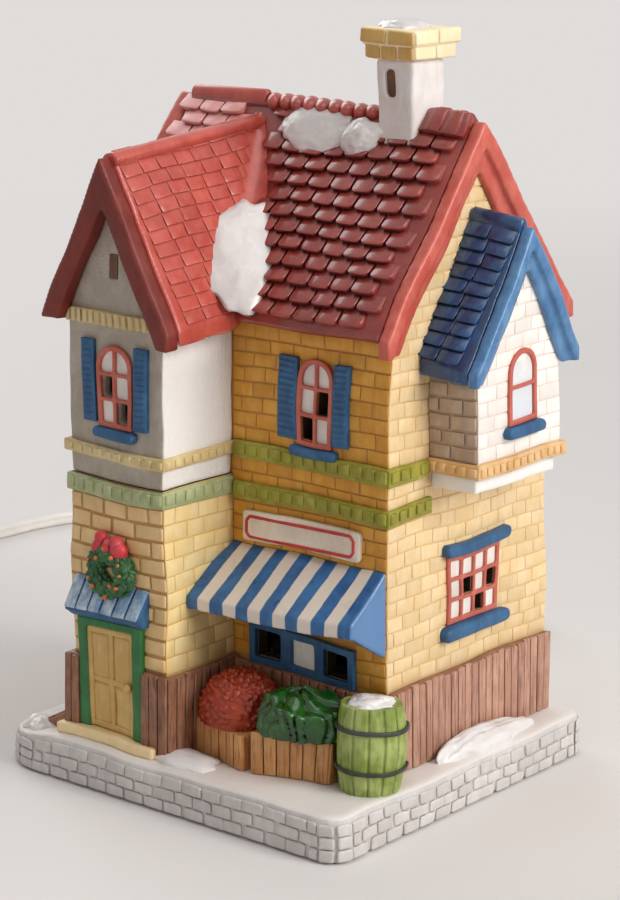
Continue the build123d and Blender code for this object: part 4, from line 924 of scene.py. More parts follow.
# %% Tile masters
def bevel_some(ob, kind, items, chosen, offset, segments):
    """Rounds those edges, or the rims of those faces, for which chosen(item) is true."""
    open_mesh(ob)
    bpy.ops.mesh.select_mode(type=kind)
    bpy.ops.mesh.select_all(action="DESELECT")
    close_mesh(ob)
    for item in items:
        item.select = chosen(item)
    bpy.ops.object.mode_set(mode="EDIT")
    bpy.ops.mesh.bevel(offset=offset * MM, segments=segments, affect="EDGES")
    return close_mesh(ob)


def tile_master(name, wide, high, thick, corner, lift, bevel):
    """A wedge of a tile with rounded lower corners, thicker by lift at its lower edge."""
    ob = flat_master(name, wide, high, thick, 0)

    def lower_corner(edge):
        a, b = (ob.data.vertices[k].co for k in edge.vertices)
        return abs(a.y - b.y) > 1e-6 and a.z < 0

    bevel_some(ob, "EDGE", ob.data.edges, lower_corner, corner, 3)
    bevel_some(ob, "FACE", ob.data.polygons, lambda face: face.normal.y < -0.9, bevel, 2)
    for v in ob.data.vertices:
        if v.co.y < 0:
            v.co.y -= lift * (0.5 * MM - v.co.z / high)
    return ob


round_tile = tile_master("round_tile", 8.0, 6.6, 0.3, 1.5, 1.7, 0.25)
close_tile = tile_master("close_tile", 8.0, 4.8, 0.12, 0.5, 0.5, 0.1)
long_tile = tile_master("long_tile", 9.0, 4.8, 0.2, 0.7, 0.85, 0.18)
for master in (round_tile, close_tile, long_tile):
    print(master.name, len(master.data.polygons), "faces")

# %% Main roof tiles
front_up = Vector((0, 1, SLOPE)).normalized()
back_up = Vector((0, -1, SLOPE)).normalized()
# The wing's ridge: its middle, its height at its front end, where that end is, and its climb
WING_M, WING_RIDGE, WING_END, CLIMB = -22.5, 197.3, -60.6, math.tan(math.radians(4.0))
WING_SLOPE = 1.92


def main_z(y):
    """How high the main front slope is."""
    return RIDGE_Z - SLOPE * (RIDGE_Y - y)


def valley_x(y, hand=1):
    """How far along the house the wing's roof meets the main front slope."""
    gap = WING_RIDGE + CLIMB * (y - WING_END) - main_z(y)
    return WING_M + hand * max(gap, 0.0) / WING_SLOPE


places, left_places, back_places = [], [], []
ROWS, PITCH_UP, EDGE, TALL, TILE, RIGHT_END = 13, 5.55, 2.4, 6.6, 8.5, 55.4
for row in range(ROWS):
    stagger = row % 2
    v = -FRONT_OUT * run + EDGE + PITCH_UP * (row + 0.5)
    y = RIDGE_Y + v / run
    start = valley_x(y) + 3.0 + dice.uniform(-0.6, 0.6)
    u = RIGHT_END - (0.5 if stagger else 1.0) * TILE
    while u > start + 3.0:
        places.append((u + 0.25, v + 0.5, min(TILE, 2 * (RIGHT_END - u)) - 0.5, TALL))
        u -= TILE
    end = valley_x(y, -1) - 2.5
    u = -51.6 + 4.0 * stagger
    while u < end - 3.0:
        left_places.append((u, v + 0.5, 8.4, TALL))
        u += 8.9
    v = -BACK_OUT * run + EDGE + PITCH_UP * (row + 0.5)
    back_places += [(-50.8 + 8.6 * k + 4.3 * stagger, v + 0.5, 8.2, TALL) for k in range(12)]
for name, along, spots, seed, upward, rough, slot, material in (
    ("main_front_tiles", EAST, places, 21, front_up, 0.16, "roof_red", roof_red),
    ("main_left_tiles", EAST, left_places, 22, front_up, 0.12, "roof_coral", roof_pink_and_highlight),
    ("main_back_tiles", WEST, back_places, 23, back_up, 0.14, "roof_red", roof_coral),
):
    tiles = lay_wall(name, round_tile, ridge_place, along, spots, seed, upward, rough)
    finish_piece(tiles, slot, material)

# %% Wing roof tiles
HALF_SPAN, TILE_TALL = 26.3, 4.9
# The wing's ridge ends at this depth on the main slope; the valley comes forward from there as it falls
RIDGE_END, VALLEY_FALL = 12.1, 1.591
lean = math.radians(4.0)
steep = 1.915
wing_run = math.sqrt(1 + steep**2)
pivot = at(WING_M, WING_END, WING_RIDGE)
halves = []
for hand, seed in ((1, 24), (-1, 25)):
    upward = Vector((-hand, -steep * math.sin(lean), steep * math.cos(lean))) / wing_run
    along = Vector((0, math.cos(lean), math.sin(lean))) * hand
    places = []
    for row in range(13):
        v = -HALF_SPAN * wing_run + 1.2 + 4.3 * (row + 0.5)
        reach = RIDGE_END + VALLEY_FALL * v / wing_run - WING_END - 4.5 + dice.uniform(-0.8, 0.8)
        if reach < 10:
            continue
        for u, _, wide, _ in course_places(dice, 6.6, reach, 0, 1, 8.0, 1, 0.3):
            places.append((hand * u, v + 0.3, wide, TILE_TALL))
    halves.append(lay_wall("wing_half", close_tile, pivot, along, places, seed, upward, 0.12))
finish_piece(weld("wing_roof_tiles", halves), "roof_coral", roof_coral)

# %% Bay roof tiles
lean = math.radians(5.0)
bay_run = math.sqrt(1 + BAY_SLOPE**2)
pivot = at(80, 16, 178.3)
halves = []
for hand, seed in ((1, 26), (-1, 27)):
    upward = Vector((BAY_SLOPE * math.sin(lean), hand, BAY_SLOPE * math.cos(lean))) / bay_run
    along = Vector((math.cos(lean), 0, -math.sin(lean))) * hand
    places = []
    for row in range(10):
        v = -HALF_SPAN * bay_run + 1.0 + 4.4 * (row + 0.5)
        for u, _, wide, _ in course_places(dice, -21.4, -4.2, 0, 1, 9.6, 1, 0.4):
            places.append((hand * u, v + 0.3, wide, TILE_TALL))
    halves.append(lay_wall("bay_half", long_tile, pivot, along, places, seed, upward, 0.12))
finish_piece(weld("bay_roof_tiles", halves), "roof_navy", roof_navy)

# %% [markdown]
# Ridges and valleys. The old ridge carries slanted caps like a rope, the rest is a rounded fold. Where the
# wing's roof runs into the main slope, the caster's thumb left a soft hollow, which is a strip bent
# between the two slopes.


# %% Ridge caps
def add_ball(name, place, size, turn=(0, 0, 0), segments=16, rings=10):
    """A ball stretched to three half sizes in millimetres and turned."""
    deselect()
    bpy.ops.mesh.primitive_uv_sphere_add(segments=segments, ring_count=rings, location=place)
    bpy.context.object.scale = Vector(size) * MM
    bpy.context.object.rotation_euler = [math.radians(v) for v in turn]
    return named(name)


def add_rod(name, start, end, size, points=20):
    """A flattened round bar from one place to another, its ends rounded."""
    deselect()
    way = end - start
    bpy.ops.mesh.primitive_cylinder_add(vertices=points, radius=1.0, depth=1.0, location=(start + end) / 2)
    bpy.context.object.scale = (size[0] * MM, size[1] * MM, way.length)
    bpy.context.object.rotation_euler = way.to_track_quat("Z", "Y").to_euler()
    ob = named(name)
    use_modifier(ob, "BEVEL", width=min(size) * 0.4 * MM, segments=3, limit_method="ANGLE",
                 angle_limit=math.radians(50))
    return smooth(ob, 50.0)


caps = []
for k in range(10):
    spot = at(-19.6 + 4.9 * k, RIDGE_Y + dice.uniform(-0.3, 0.3), RIDGE_Z - 1.1)
    cap = add_ball("cap", spot, (2.9, 5.4, 2.8), (0, 0, 34))
    mark(cap.data, "tone", dice.uniform(-0.5, 0.5))
    caps.append(cap)
caps.append(add_rod("fold", at(-53.6, RIDGE_Y, RIDGE_Z - 0.9), at(-22.0, RIDGE_Y, RIDGE_Z - 0.9), (2.2, 3.4)))
finish_piece(smooth(weld("rope_ridge", caps), 80), "roof_coral", roof_coral)
folds = []
for x0, x1, rise in ((40.3, 57.6, 1.9), (42.6, 48.6, 2.5), (49.4, 55.4, 2.4)):
    folds.append(slope_slab("fold", x0, x1, -7.4, 1.4, 1.0, 1.1, pitch_angle, ridge_place, rise))
    folds.append(slope_slab("fold", x0, x1, -1.4, 6.6, 1.0, 1.1, -pitch_angle, ridge_place, rise))
finish_piece(smooth(weld("red_ridge", folds)), "roof_red", roof_red)
top = WING_RIDGE + CLIMB * (RIDGE_END - WING_END)
start, end = at(WING_M, -55.6, WING_RIDGE - 1.4), at(WING_M, RIDGE_END, top - 1.2)
fold = add_rod("wing_ridge", start, end, (3.0, 2.2))
finish_piece(fold, "roof_coral", roof_coral)
fold = add_rod("bay_ridge", at(58.6, 16, 178.9), at(76.4, 16, 177.4), (2.0, 2.8))
finish_piece(fold, "roof_navy", roof_navy)

# %% Valley hollows
STEPS, ACROSS = 30, 8
LOW_Y, HIGH_Y, HOLLOW_WIDE, INNER = -30.2, 11.6, 6.6, 0.62
lift = Vector((0, -0.25, 0.25))
hollows = []
for hand in (1, -1):
    deselect()
    bpy.ops.mesh.primitive_grid_add(x_subdivisions=ACROSS, y_subdivisions=STEPS, size=1.0)
    ob = named("hollow")
    for v in ob.data.vertices:
        s, t = v.co.x + 0.5, v.co.y + 0.5
        y = LOW_Y + t * (HIGH_Y - LOW_Y)
        x, z = valley_x(y, hand), main_z(y)
        width = HOLLOW_WIDE * min(1.0, 0.25 + 2.2 * (1 - t))
        inner = Vector((x - hand * width * INNER, y, z + width * INNER * WING_SLOPE))
        outer = Vector((x + hand * width, y, z))
        place = inner * (1 - s) ** 2 + Vector((x, y, z)) * 2 * s * (1 - s) + outer * s**2 + lift
        v.co = at(*place)
    use_modifier(ob, "SOLIDIFY", thickness=0.9 * MM, offset=-1.0 if hand > 0 else 1.0)
    hollows.append(smooth(ob, 60))
finish_piece(face_outward(weld("valley_hollows", hollows)), "roof_coral", roof_coral)

# %% [markdown]
# The base. Its sides are cobbles in three courses, each a thick cushion. Every stone is set where a ray
# towards the base meets its side, so the courses follow the round corner and the low end.


# %% Base stones
plinth = copy_of("base_plinth")
stone = flat_master("stone", 8.0, 4.4, 1.2, 1.1, 3)
stones = []
COURSES, STONE_WIDE = 3, 8.2
bpy.context.view_layer.update()
laps = [((-53.0, -63.5), (64.0, -63.5), (0, -1)), ((71.0, -56.5), (71.0, 56.5), (1, 0)),
        ((64.0, 63.5), (-64.0, 63.5), (0, 1)), ((-71.0, 56.5), (-71.0, -45.5), (-1, 0))]
corners = [((-53.0, -45.5), 18.0, 180, 4), ((64.0, -56.5), 7.0, 270, 2),
           ((64.0, 56.5), 7.0, 0, 2), ((-64.0, 56.5), 7.0, 90, 2)]
spots = []
for (x0, y0), (x1, y1), out in laps:
    length = math.hypot(x1 - x0, y1 - y0)
    count = round(length / STONE_WIDE)
    wide = length / (count + 0.5)
    for course in range(COURSES):
        row = [(k + (1.0 if course % 2 else 0.5), 1.0) for k in range(count)]
        row.append((0.25, 0.5) if course % 2 else (count + 0.25, 0.5))
        for middle, part in row:
            share = (middle + part * dice.uniform(-0.08, 0.08)) / (count + 0.5)
            x, y = x0 + (x1 - x0) * share, y0 + (y1 - y0) * share
            spots.append((x, y, Vector((*out, 0)), course, wide * part))
for (x0, y0), radius, first, count in corners:
    for course in range(COURSES):
        for k in range(count):
            a = math.radians(first + 90 * (k + 0.5) / count)
            out = Vector((math.cos(a), math.sin(a), 0))
            wide = radius * math.pi / 2 / count
            spots.append((x0 + radius * out.x, y0 + radius * out.y, out, course, wide))
for x, y, out, course, wide in spots:
    start = at(x, y, 4.0) + out * 0.05
    hit, place, _, _ = plinth.ray_cast(start, -out)
    if not hit:
        continue
    above = at(x, y, 60.0) - out * 2.5 * MM
    _, roof, _, _ = plinth.ray_cast(above, -UPWARD)
    pitch = (roof.z / MM - 2.4) / COURSES
    origin = Vector((place.x, place.y, (0.4 + pitch * (course + 0.5)) * MM))
    long = (wide - 0.3) * dice.uniform(0.92, 1.0) * MM
    tall = (pitch - 0.15) * dice.uniform(0.94, 1.02) * MM
    tone, rise = dice.uniform(-0.5, 0.5), dice.uniform(0.48, 0.7)
    stones.append(lay_copy(stone, origin, UPWARD.cross(out), UPWARD, long, tall, tone, rise))
finish_piece(smooth(weld("base_stones", stones), 60), "stone_grey", stone_paint)
# The plinth's top face is painted lighter than its sides, as painted light from above.
plinth_lit_top_paint = paint("stone_painted_light_top", *STONE, amounts=(0.75, 0.2), depth=2.0,
                     over=by_face((2, 1, 7, (226, 219, 214))))
finish_piece(soften(plinth, 0.9, 12), "stone_grey", plinth_lit_top_paint, "base_plinth")

# %% [markdown]
# Trims. Bands, boards, frames and sills keep their solids' shape and only lose their sharp edges. The wing's
# upper storey changes from stucco on its front to plain white on its side.

# %% Softened trims
stucco_side = paint("stucco_and_white", (174, 162, 148), (192, 181, 168), (114, 101, 88), gloss=(0.6, 0.8),
                    bump=1.0, over=by_face((0, 1, -9, (240, 236, 232))))
wainscot_paint = paint("plank_brown_and_light", (136, 90, 66), (160, 114, 88), (66, 38, 26), (190, 150, 126),
                       (0.6, 0.4), over=by_face((0, 1, 58, (160, 114, 94))))
for node, grain, slot, material in (
    ("wing_upper_walls", 0.8, "stucco", stucco_side), ("wainscot", 0.7, "plank_brown", wainscot_paint),
    ("main_bands", 0.5, "lime_band", lime_paint), ("wing_lower_band", 0.5, "sage_band", sage_paint),
    ("wing_upper_band", 0.5, "tan_band", dentil_paint), ("wing_dentil", 0.35, "tan_band", dentil_paint),
    ("bay_corbel", 0.6, "white_plaster", white_paint), ("bay_band", 0.5, "orange_band", orange_paint),
    ("main_barge_boards", 0.8, "barge_salmon", barge_salmon),
    ("wing_barge_boards", 0.8, "barge_brown_red", barge_brown),
    ("bay_barge_boards", 0.6, "barge_blue", barge_blue), ("chimney_cap", 0.6, "ochre_brick", cap_pale),
    ("sign_board", 0.5, "sign_cream", sign_cream), ("shop_window", 0.35, "trim_blue", trim_blue),
    ("side_window", 0.28, "frame_red", frame_red), ("wing_window", 0.28, "frame_red", frame_red),
    ("main_window", 0.28, "frame_red", frame_red), ("bay_window", 0.28, "frame_red", frame_red),
    ("side_window_trim", 0.45, "trim_blue", trim_blue), ("window_sills", 0.4, "trim_blue", trim_blue),
    ("wing_shutters", 0.3, "trim_blue", trim_blue), ("main_shutters", 0.3, "trim_blue", trim_blue),
    ("door", 0.4, "door_tan", door_tan), ("door_frame", 0.45, "door_green", door_green),
    ("door_step", 0.5, "door_tan", step_tan_painted_lighter), ("door_canopy", 0.5, "trim_blue", trim_blue),
    ("crate_left", 0.5, "crate_wood", crate_tan), ("crate_right", 0.5, "crate_wood", crate_tan),
    ("cellar_hatch", 0.5, "plank_brown", plank_paint),
):
    cast(node, grain, slot, material)
HOOP_LOW, HOOP_HIGH = 21.3, 33.5
hoops = copy_of("barrel_hoops")
for v in hoops.data.vertices:
    height = v.co.z / MM
    middle = HOOP_LOW if height < (HOOP_LOW + HOOP_HIGH) / 2 else HOOP_HIGH
    v.co.z = (middle + 0.6 * (height - middle)) * MM
finish_piece(soften(hoops, 0.22, 3), "hoop_dark", hoop_dark, "barrel_hoops")


# %% Striped awning
# In metres: the width of one stripe, the ends where stripes give way to the cheeks, and where they begin
STRIPE = 0.061 / 13
STRIPES_LOW, STRIPES_HIGH, STRIPES_FROM = -0.0066, 0.0526, -0.0072
CREAM, CHEEK = (218, 206, 192), (86, 128, 176)


def stripes(tree, base):
    """Seven blue and six cream stripes across the awning, with edges a brush would leave."""
    split = tree.nodes.new("ShaderNodeSeparateXYZ")
    coords = tree.nodes.new("ShaderNodeTexCoord").outputs["Object"]
    link(tree, coords, split.inputs[0])
    across = sum_of(tree, "MAXIMUM", split.outputs[0], STRIPES_LOW)
    across = sum_of(tree, "MINIMUM", across, STRIPES_HIGH)
    shake = sum_of(tree, "MULTIPLY", noise(tree, coords, 180.0, 2.0), 0.0008)
    shaken = sum_of(tree, "ADD", sum_of(tree, "ADD", across, shake), -STRIPES_FROM - STRIPE / 2)
    wave = sum_of(tree, "PINGPONG", shaken, STRIPE)
    mask = spread(tree, wave, STRIPE * 0.46, STRIPE * 0.54)
    striped = mix_colour(tree, mask, base, flat_colour(tree, CREAM))
    return by_face((0, 1, 51, CHEEK))(tree, striped)


awning_paint = paint("awning_stripes", (24, 82, 138), (40, 104, 160), (12, 44, 82), (140, 172, 204),
                     (0.7, 0.25), gloss=(0.24, 0.4), coat=0.3, over=stripes)
cast("awning", 0.45, "awning_blue", awning_paint, 14)

# %% Chimney stack
stack = add_block("chimney_shaft", at(26.7, 8.5, 186.0), at(40.3, 24.5, 224.2), 1.3 * MM, 3)
hole = add_block("hole", at(30.1, 7.6, 212.9), at(33.7, 11.5, 221.2), 1.5 * MM, 4)
use_modifier(stack, "BOOLEAN", object=hole, operation="DIFFERENCE", solver="EXACT")
bpy.data.objects.remove(hole)
finish_piece(soften(stack, 0.45), "white_plaster", chimney_white, "chimney_stack")

# %% [markdown]
# Panes. Behind each frame some panes are open through the wall, so the lamp can shine out; the others are
# closed with plain white clay. The frames hide the panes' edges.


# %% Window panes
def panes(corner, along, u, v, wide, high, columns, rows, empty, rim, bar, arched):
    """White plates behind the closed panes of a window, standing a hair off the wall."""
    step_u = (wide - 2 * rim + bar) / columns
    step_v = (high - 2 * rim + bar) / rows
    plates = []
    for column in range(columns):
        for row in range(rows):
            if (column, row) in empty:
                continue
            place = corner + along * ((u - wide / 2 + rim + step_u * (column + 0.5) - bar / 2) * MM)
            place += UPWARD * ((v + rim + step_v * (row + 0.5) - bar / 2) * MM)
            plate = lay_copy(pane, place, along, UPWARD, step_u * MM, step_v * MM, dice.uniform(-0.5, 0.5))
            plates.append(plate)
    plates = weld("panes", plates)
    if arched:
        middle = corner + along * (u * MM) + UPWARD * ((v + high - wide / 2) * MM)
        for turned in (25, 55, 125, 155):
            way = along * math.cos(math.radians(turned)) + UPWARD * math.sin(math.radians(turned))
            slice_off(plates, middle + way * ((wide / 2 - 0.5) * MM), way)
    return plates


pane = flat_master("pane", 4.0, 5.0, 0.3, 0.0)
sheets = [
    panes(at(0, -55, 0), EAST, -22.0, 115.2, 13.8, 24.8, 2, 3, [(0, 1), (1, 0)], 1.6, 1.1, True),
    panes(at(0, -24, 0), EAST, 30.9, 111.6, 14.2, 26.4, 2, 3, [(1, 1), (0, 0)], 1.6, 1.1, True),
    panes(at(76, 0, 0), NORTH, 17.0, 118.6, 14.0, 22.0, 1, 2, [], 1.6, 1.1, True),
    panes(at(58, 0, 0), NORTH, 17.6, 53.6, 26.6, 22.4, 4, 3, [(1, 1), (3, 1), (2, 0)], 1.6, 1.3, False),
    panes(at(0, -24, 0), EAST, 26.0, 38.8, 42.4, 13.0, 3, 1, [(0, 0), (2, 0)], 2.2, 4.0, False),
]
# Its dark third colour, at full amount, is painted shade where the panes sit back behind their frames.
pane_paint = paint("pane_white", (226, 220, 212), (236, 232, 226), (150, 138, 126), amounts=(1.0, 0.1),
                   depth=2.4, over=by_face((0, 1, 72, (216, 224, 232))))
finish_piece(weld("window_panes", sheets), "white_plaster", pane_paint)
# A dark plate stands for the slot on the wing's gable and a dark block fills the chimney's slot: painted
# shadow of both recesses.
slots = [
    add_block("slot", at(-23.6, -55.15, 160.3), at(-20.4, -53.2, 168.3), 0.1 * MM),
    add_block("slot", at(30.2, 9.6, 213.2), at(33.6, 11.6, 220.9)),
]
finish_piece(weld("dark_slots", slots), "plank_brown", painted_shadow_brown)

# %% [markdown]
# Bands carry a row of small rounded blocks. The same block is laid along every face of a band.


# %% Blocks on the bands
def block_row(name, faces, high, pitch, rough, seed):
    """Blocks along faces, each given by its corner, direction, start, end and middle height."""
    rows = []
    for corner, along, u0, u1, v in faces:
        count = max(1, round((u1 - u0) / pitch))
        step = (u1 - u0) / count
        places = [(u0 + step * (k + 0.5), v, 0.8 * step, high) for k in range(count)]
        rows.append(lay_wall("row", tooth, corner, along, places, seed, rough=rough))
    return weld(name, rows)


tooth = flat_master("tooth", 3.4, 3.2, 0.6, 0.45, 2)
lime, sage, tan = [], [], []
for v, end in ((94.4, -5.0), (106.9, -7.0)):
    lime += [(at(0, -26, 0), EAST, 0.4, 59.6, v), (at(60, 0, 0), NORTH, -25.8, end, v)]
for faces, v, out, u0, u1 in ((sage, 95.3, 1.4, -43.2, -1.8), (tan, 106.7, 1.6, -43.4, -1.6)):
    near = WING_F + 0.2 - out
    faces += [(at(0, WING_F - out, 0), EAST, u0, u1, v), (at(WING_R + out, 0, 0), NORTH, near, -26.4, v),
              (at(WING_L - out, 0, 0), SOUTH, 24.2, -near, v)]
orange = [(at(77.6, 0, 0), NORTH, -5.8, 37.8, 107.2), (at(0, -6.1, 0), EAST, 58.8, 77.2, 107.2),
          (at(0, 38.1, 0), WEST, -77.2, -58.8, 107.2)]
for colour, faces, high, pitch, rough, seed, material in (
    ("lime", lime, 3.7, 4.6, 0.2, 31, lime_paint), ("sage", sage, 3.9, 4.2, 0.25, 32, sage_paint),
    ("tan", tan, 2.8, 4.0, 0.25, 33, dentil_paint), ("orange", orange, 3.0, 3.4, 0.2, 34, orange_paint),
):
    finish_piece(block_row(colour + "_blocks", faces, high, pitch, rough, seed), colour + "_band", material)

# %% [markdown]
# Boards: the wainscot, the crates, the canopy and the hatch are rows of boards with uneven ends.


# %% Boards
def boards(name, master, corner, along, u0, u1, v0, v1, pitch, seed, upward=UPWARD, ragged=0.6, joint=0.25):
    """Upright boards side by side, their ends a little uneven."""
    rng = random.Random(seed)
    count = max(1, round((u1 - u0) / pitch))
    step = (u1 - u0) / count
    copies = []
    for k in range(count):
        high = v1 - v0 + rng.uniform(-ragged, 0.2 * ragged)
        origin = corner + along * ((u0 + step * (k + 0.5)) * MM) + upward * ((v0 + high / 2) * MM)
        copies.append(lay_copy(master, origin, along, upward, (step - joint) * MM, high * MM,
                               rng.uniform(-0.5, 0.5), rng.uniform(0.7, 1.2)))
    return smooth(weld(name, copies), 50)


plank = flat_master("plank", 3.6, 24.0, 0.7, 0.4, 2)
walls = [
    (at(0, -57.4, 0), EAST, -44.4, -38.2, 40.0), (at(0, -57.4, 0), EAST, -11.0, -0.6, 40.0),
    (at(-0.6, 0, 0), NORTH, -57.4, -26.6, 40.0), (at(0, -26.4, 0), EAST, -0.4, 60.2, 38.8),
    (at(-56.4, 0, 0), SOUTH, -57.0, 26.2, 40.0),
    (at(0, -26.4, 0), EAST, -56.2, -44.6, 40.0), (at(-44.4, 0, 0), SOUTH, 26.6, 57.2, 40.0),
]
GROUND = 14.2
rows = [boards("row", plank, c, way, u0, u1, GROUND, v1 + 0.2, 3.7, 40 + k, ragged=0.9)
        for k, (c, way, u0, u1, v1) in enumerate(walls)]
finish_piece(weld("wainscot_boards", rows), "plank_brown", plank_paint)
row = boards("right_boards", plank, at(60.4, 0, 0), NORTH, -26.2, 57.0, GROUND, 40.2, 3.4, 39, ragged=0.9,
             joint=0.2)
plank_light = paint("plank_light", (178, 132, 111), (198, 155, 133), (104, 66, 52), (214, 180, 162),
                    (0.9, 0.5), over=wood_lines(122, 80, 64))
finish_piece(row, "plank_brown", plank_light)
slat = flat_master("slat", 3.8, 11.0, 0.6, 0.4, 2)
rows = []
for start, end, high, seed in (
    ((-0.4, -44.0), (23.4, -49.6), 25.4, 51), ((26.0, -49.0), (50.4, -42.1), 27.2, 52),
):
    way = Vector((end[0] - start[0], end[1] - start[1], 0))
    rows.append(boards("row", slat, at(*start, 0), way.normalized(), 0.2, way.length - 0.2, GROUND,
                       high + 0.2, 4.0, seed, ragged=0.5))
finish_piece(weld("crate_slats", rows), "crate_wood", crate_tan)
fall = Vector((0, 5.4, 8.4)).normalized()
frost = paint("frosted_blue", (112, 146, 180), (196, 208, 220), (30, 66, 104), (226, 232, 238), (1.0, 0.8))
rows = boards("canopy_slats", slat, at(0, -60.4, 58.0), EAST, -39.8, -9.8, -1.0, 9.9, 5.0, 53, upward=fall,
              joint=0.7)
finish_piece(rows, "trim_blue", frost)
lean = Vector((14.5, 0, 7.0)).normalized()
rows = boards("hatch_boards", slat, at(-58.9, 0, 12.9), SOUTH, 30.4, 54.1, 0.4, 15.6, 4.0, 54, upward=lean)
finish_piece(rows, "plank_brown", plank_paint)

# %% Door rails, chimney cap bricks and sign border
rails = []
for x in (-33.6, -24.6, -15.6):
    rails.append(add_block("rail", at(x - 1.0, -56.9, 17.6), at(x + 1.0, -55.6, 50.8), 0.45 * MM))
for z in (18.9, 33.6, 49.8):
    rails.append(add_block("rail", at(-33.8, -56.7, z - 1.1), at(-15.4, -55.6, z + 1.1), 0.45 * MM))
rails.append(add_ball("knob", at(-17.0, -57.6, 33.6), (1.5, 1.2, 1.5)))
finish_piece(smooth(weld("door_rails", rails), 60), "door_tan", door_tan)
CAP_X, CAP_Y, CAP_HIGH = 33.5, 16.5, 4.1
front_rows, side_rows = [], []
for out, v, across, deep in ((2.2, 226.2, 3, 2), (3.4, 230.6, 2, 2)):
    width, depth = 13.6 + 2 * out, 16.0 + 2 * out
    step = width / across
    places = [(CAP_X - width / 2 + step * (k + 0.5), v, step - 0.5, CAP_HIGH) for k in range(across)]
    corner = at(0, CAP_Y - depth / 2, 0)
    front_rows.append(lay_wall("row", pillow_brick, corner, EAST, places, 61, rough=0.2))
    step = depth / deep
    places = [(CAP_Y - depth / 2 + step * (k + 0.5), v, step - 0.4, CAP_HIGH) for k in range(deep)]
    corner = at(CAP_X + width / 2, 0, 0)
    side_rows.append(lay_wall("row", pillow_brick, corner, NORTH, places, 62, rough=0.2))
finish_piece(weld("cap_bricks", front_rows), "ochre_brick", cap_ochre)
finish_piece(weld("cap_side_bricks", side_rows), "ochre_brick", cap_pale)
bars = []
for x0, z0, x1, z1 in (
    (6.2, 80.4, 45.2, 80.4), (6.2, 86.8, 45.2, 86.8), (4.9, 81.7, 4.9, 85.5), (46.5, 81.7, 46.5, 85.5),
    (4.9, 81.7, 6.2, 80.4), (4.9, 85.5, 6.2, 86.8), (46.5, 81.7, 45.2, 80.4), (46.5, 85.5, 45.2, 86.8),
):
    bars.append(add_rod("bar", at(x0, -26.5, z0), at(x1, -26.5, z1), (0.55, 0.5), 12))
finish_piece(weld("sign_border", bars), "bow_red", border_red)

# %% [markdown]
# Round things: leaves, berries and bow of the wreath, the heaps of goods, the barrel's staves, the snow.
# Each is a ball that was pressed, turned or dented with slow noise, so no two are alike.


# %% Wreath and bow
def scatter_balls(name, places, size, seed, segments=10, rings=7):
    """Small balls at many places, each a little different."""
    rng = random.Random(seed)
    balls = []
    for place in places:
        grow = rng.uniform(0.8, 1.2)
        angles = [rng.uniform(0, 180) for _ in range(3)]
        ball = add_ball("ball", place, [v * grow for v in size], angles, segments, rings)
        mark(ball.data, "tone", rng.uniform(-0.5, 0.5))
        balls.append(ball)
    return smooth(weld(name, balls), 80)


WREATH_X, WREATH_Z, BIG, SMALL = -22.8, 70.3, 6.0, 2.7


def on_ring(a, b, extra=0.0):
    """A place on the wreath: a round the ring, b round its tube."""
    tube = SMALL + extra
    far = BIG + tube * math.cos(b)
    return at(WREATH_X + far * math.cos(a), -57.4 - tube * math.sin(b), WREATH_Z + far * math.sin(a))


ring = soften(copy_of("wreath"), 0.4)
normals = [v.normal.copy() for v in ring.data.vertices]
for v, normal in zip(ring.data.vertices, normals):
    near = clouds.voronoi(v.co / MM * 0.42)[0]
    v.co += normal * (1.5 * (1 - min(near[0] * 1.5, 1.0)) - 0.7) * MM
finish_piece(ring, "wreath_green", leaf_green, "wreath")
leaves = [on_ring(k * 2.4, dice.uniform(-0.2, math.pi + 0.2)) for k in range(90)]
finish_piece(scatter_balls("wreath_leaves", leaves, (1.25, 0.8, 0.7), 71), "wreath_green", leaf_green)
BERRIES = 11
berries = [on_ring(k * math.tau / BERRIES + dice.uniform(-0.2, 0.2), dice.uniform(1.0, 2.3), 0.9)
           for k in range(BERRIES)]
finish_piece(scatter_balls("wreath_berries", berries, (0.75, 0.6, 0.75), 72), "wreath_green", berry_orange)
lobes = []
for dx, dz, size, lean in (
    (-4.4, 7.6, (2.5, 2.2, 2.9), 12), (-3.5, 10.6, (2.2, 2.0, 2.3), -8), (-0.4, 7.8, (1.9, 2.4, 2.9), 0),
    (3.9, 7.7, (3.2, 2.5, 3.2), -10), (3.0, 10.2, (2.3, 2.0, 2.0), 10), (-0.2, 9.8, (1.6, 1.6, 1.4), 0),
):
    lobes.append(add_ball("lobe", at(WREATH_X + dx, -58.2, WREATH_Z + dz), size, (0, lean, 0), 24, 16))
finish_piece(smooth(weld("bow_lobes", lobes), 80), "bow_red", bow_red, "wreath_bow")


# %% Heaps of goods
def heap(name, middle, size, shape, rows, rings):
    """A pressed ball whose surface is raised by shape(direction), in millimetres, along its direction."""
    deselect()
    bpy.ops.mesh.primitive_uv_sphere_add(segments=rows, ring_count=rings)
    ob = named(name)
    for v in ob.data.vertices:
        way = v.co.copy()
        v.co = at(*middle) + Vector([w * q for w, q in zip(way, size)]) * MM + way * (shape(way) * MM)
    return smooth(ob, 80)


def berry_bumps(way):
    """Closely packed small rounds."""
    near = clouds.voronoi(way * 7.5)[0]
    return 1.1 * (1 - min(near[0] * 1.9, 1.0) ** 2) - 0.7


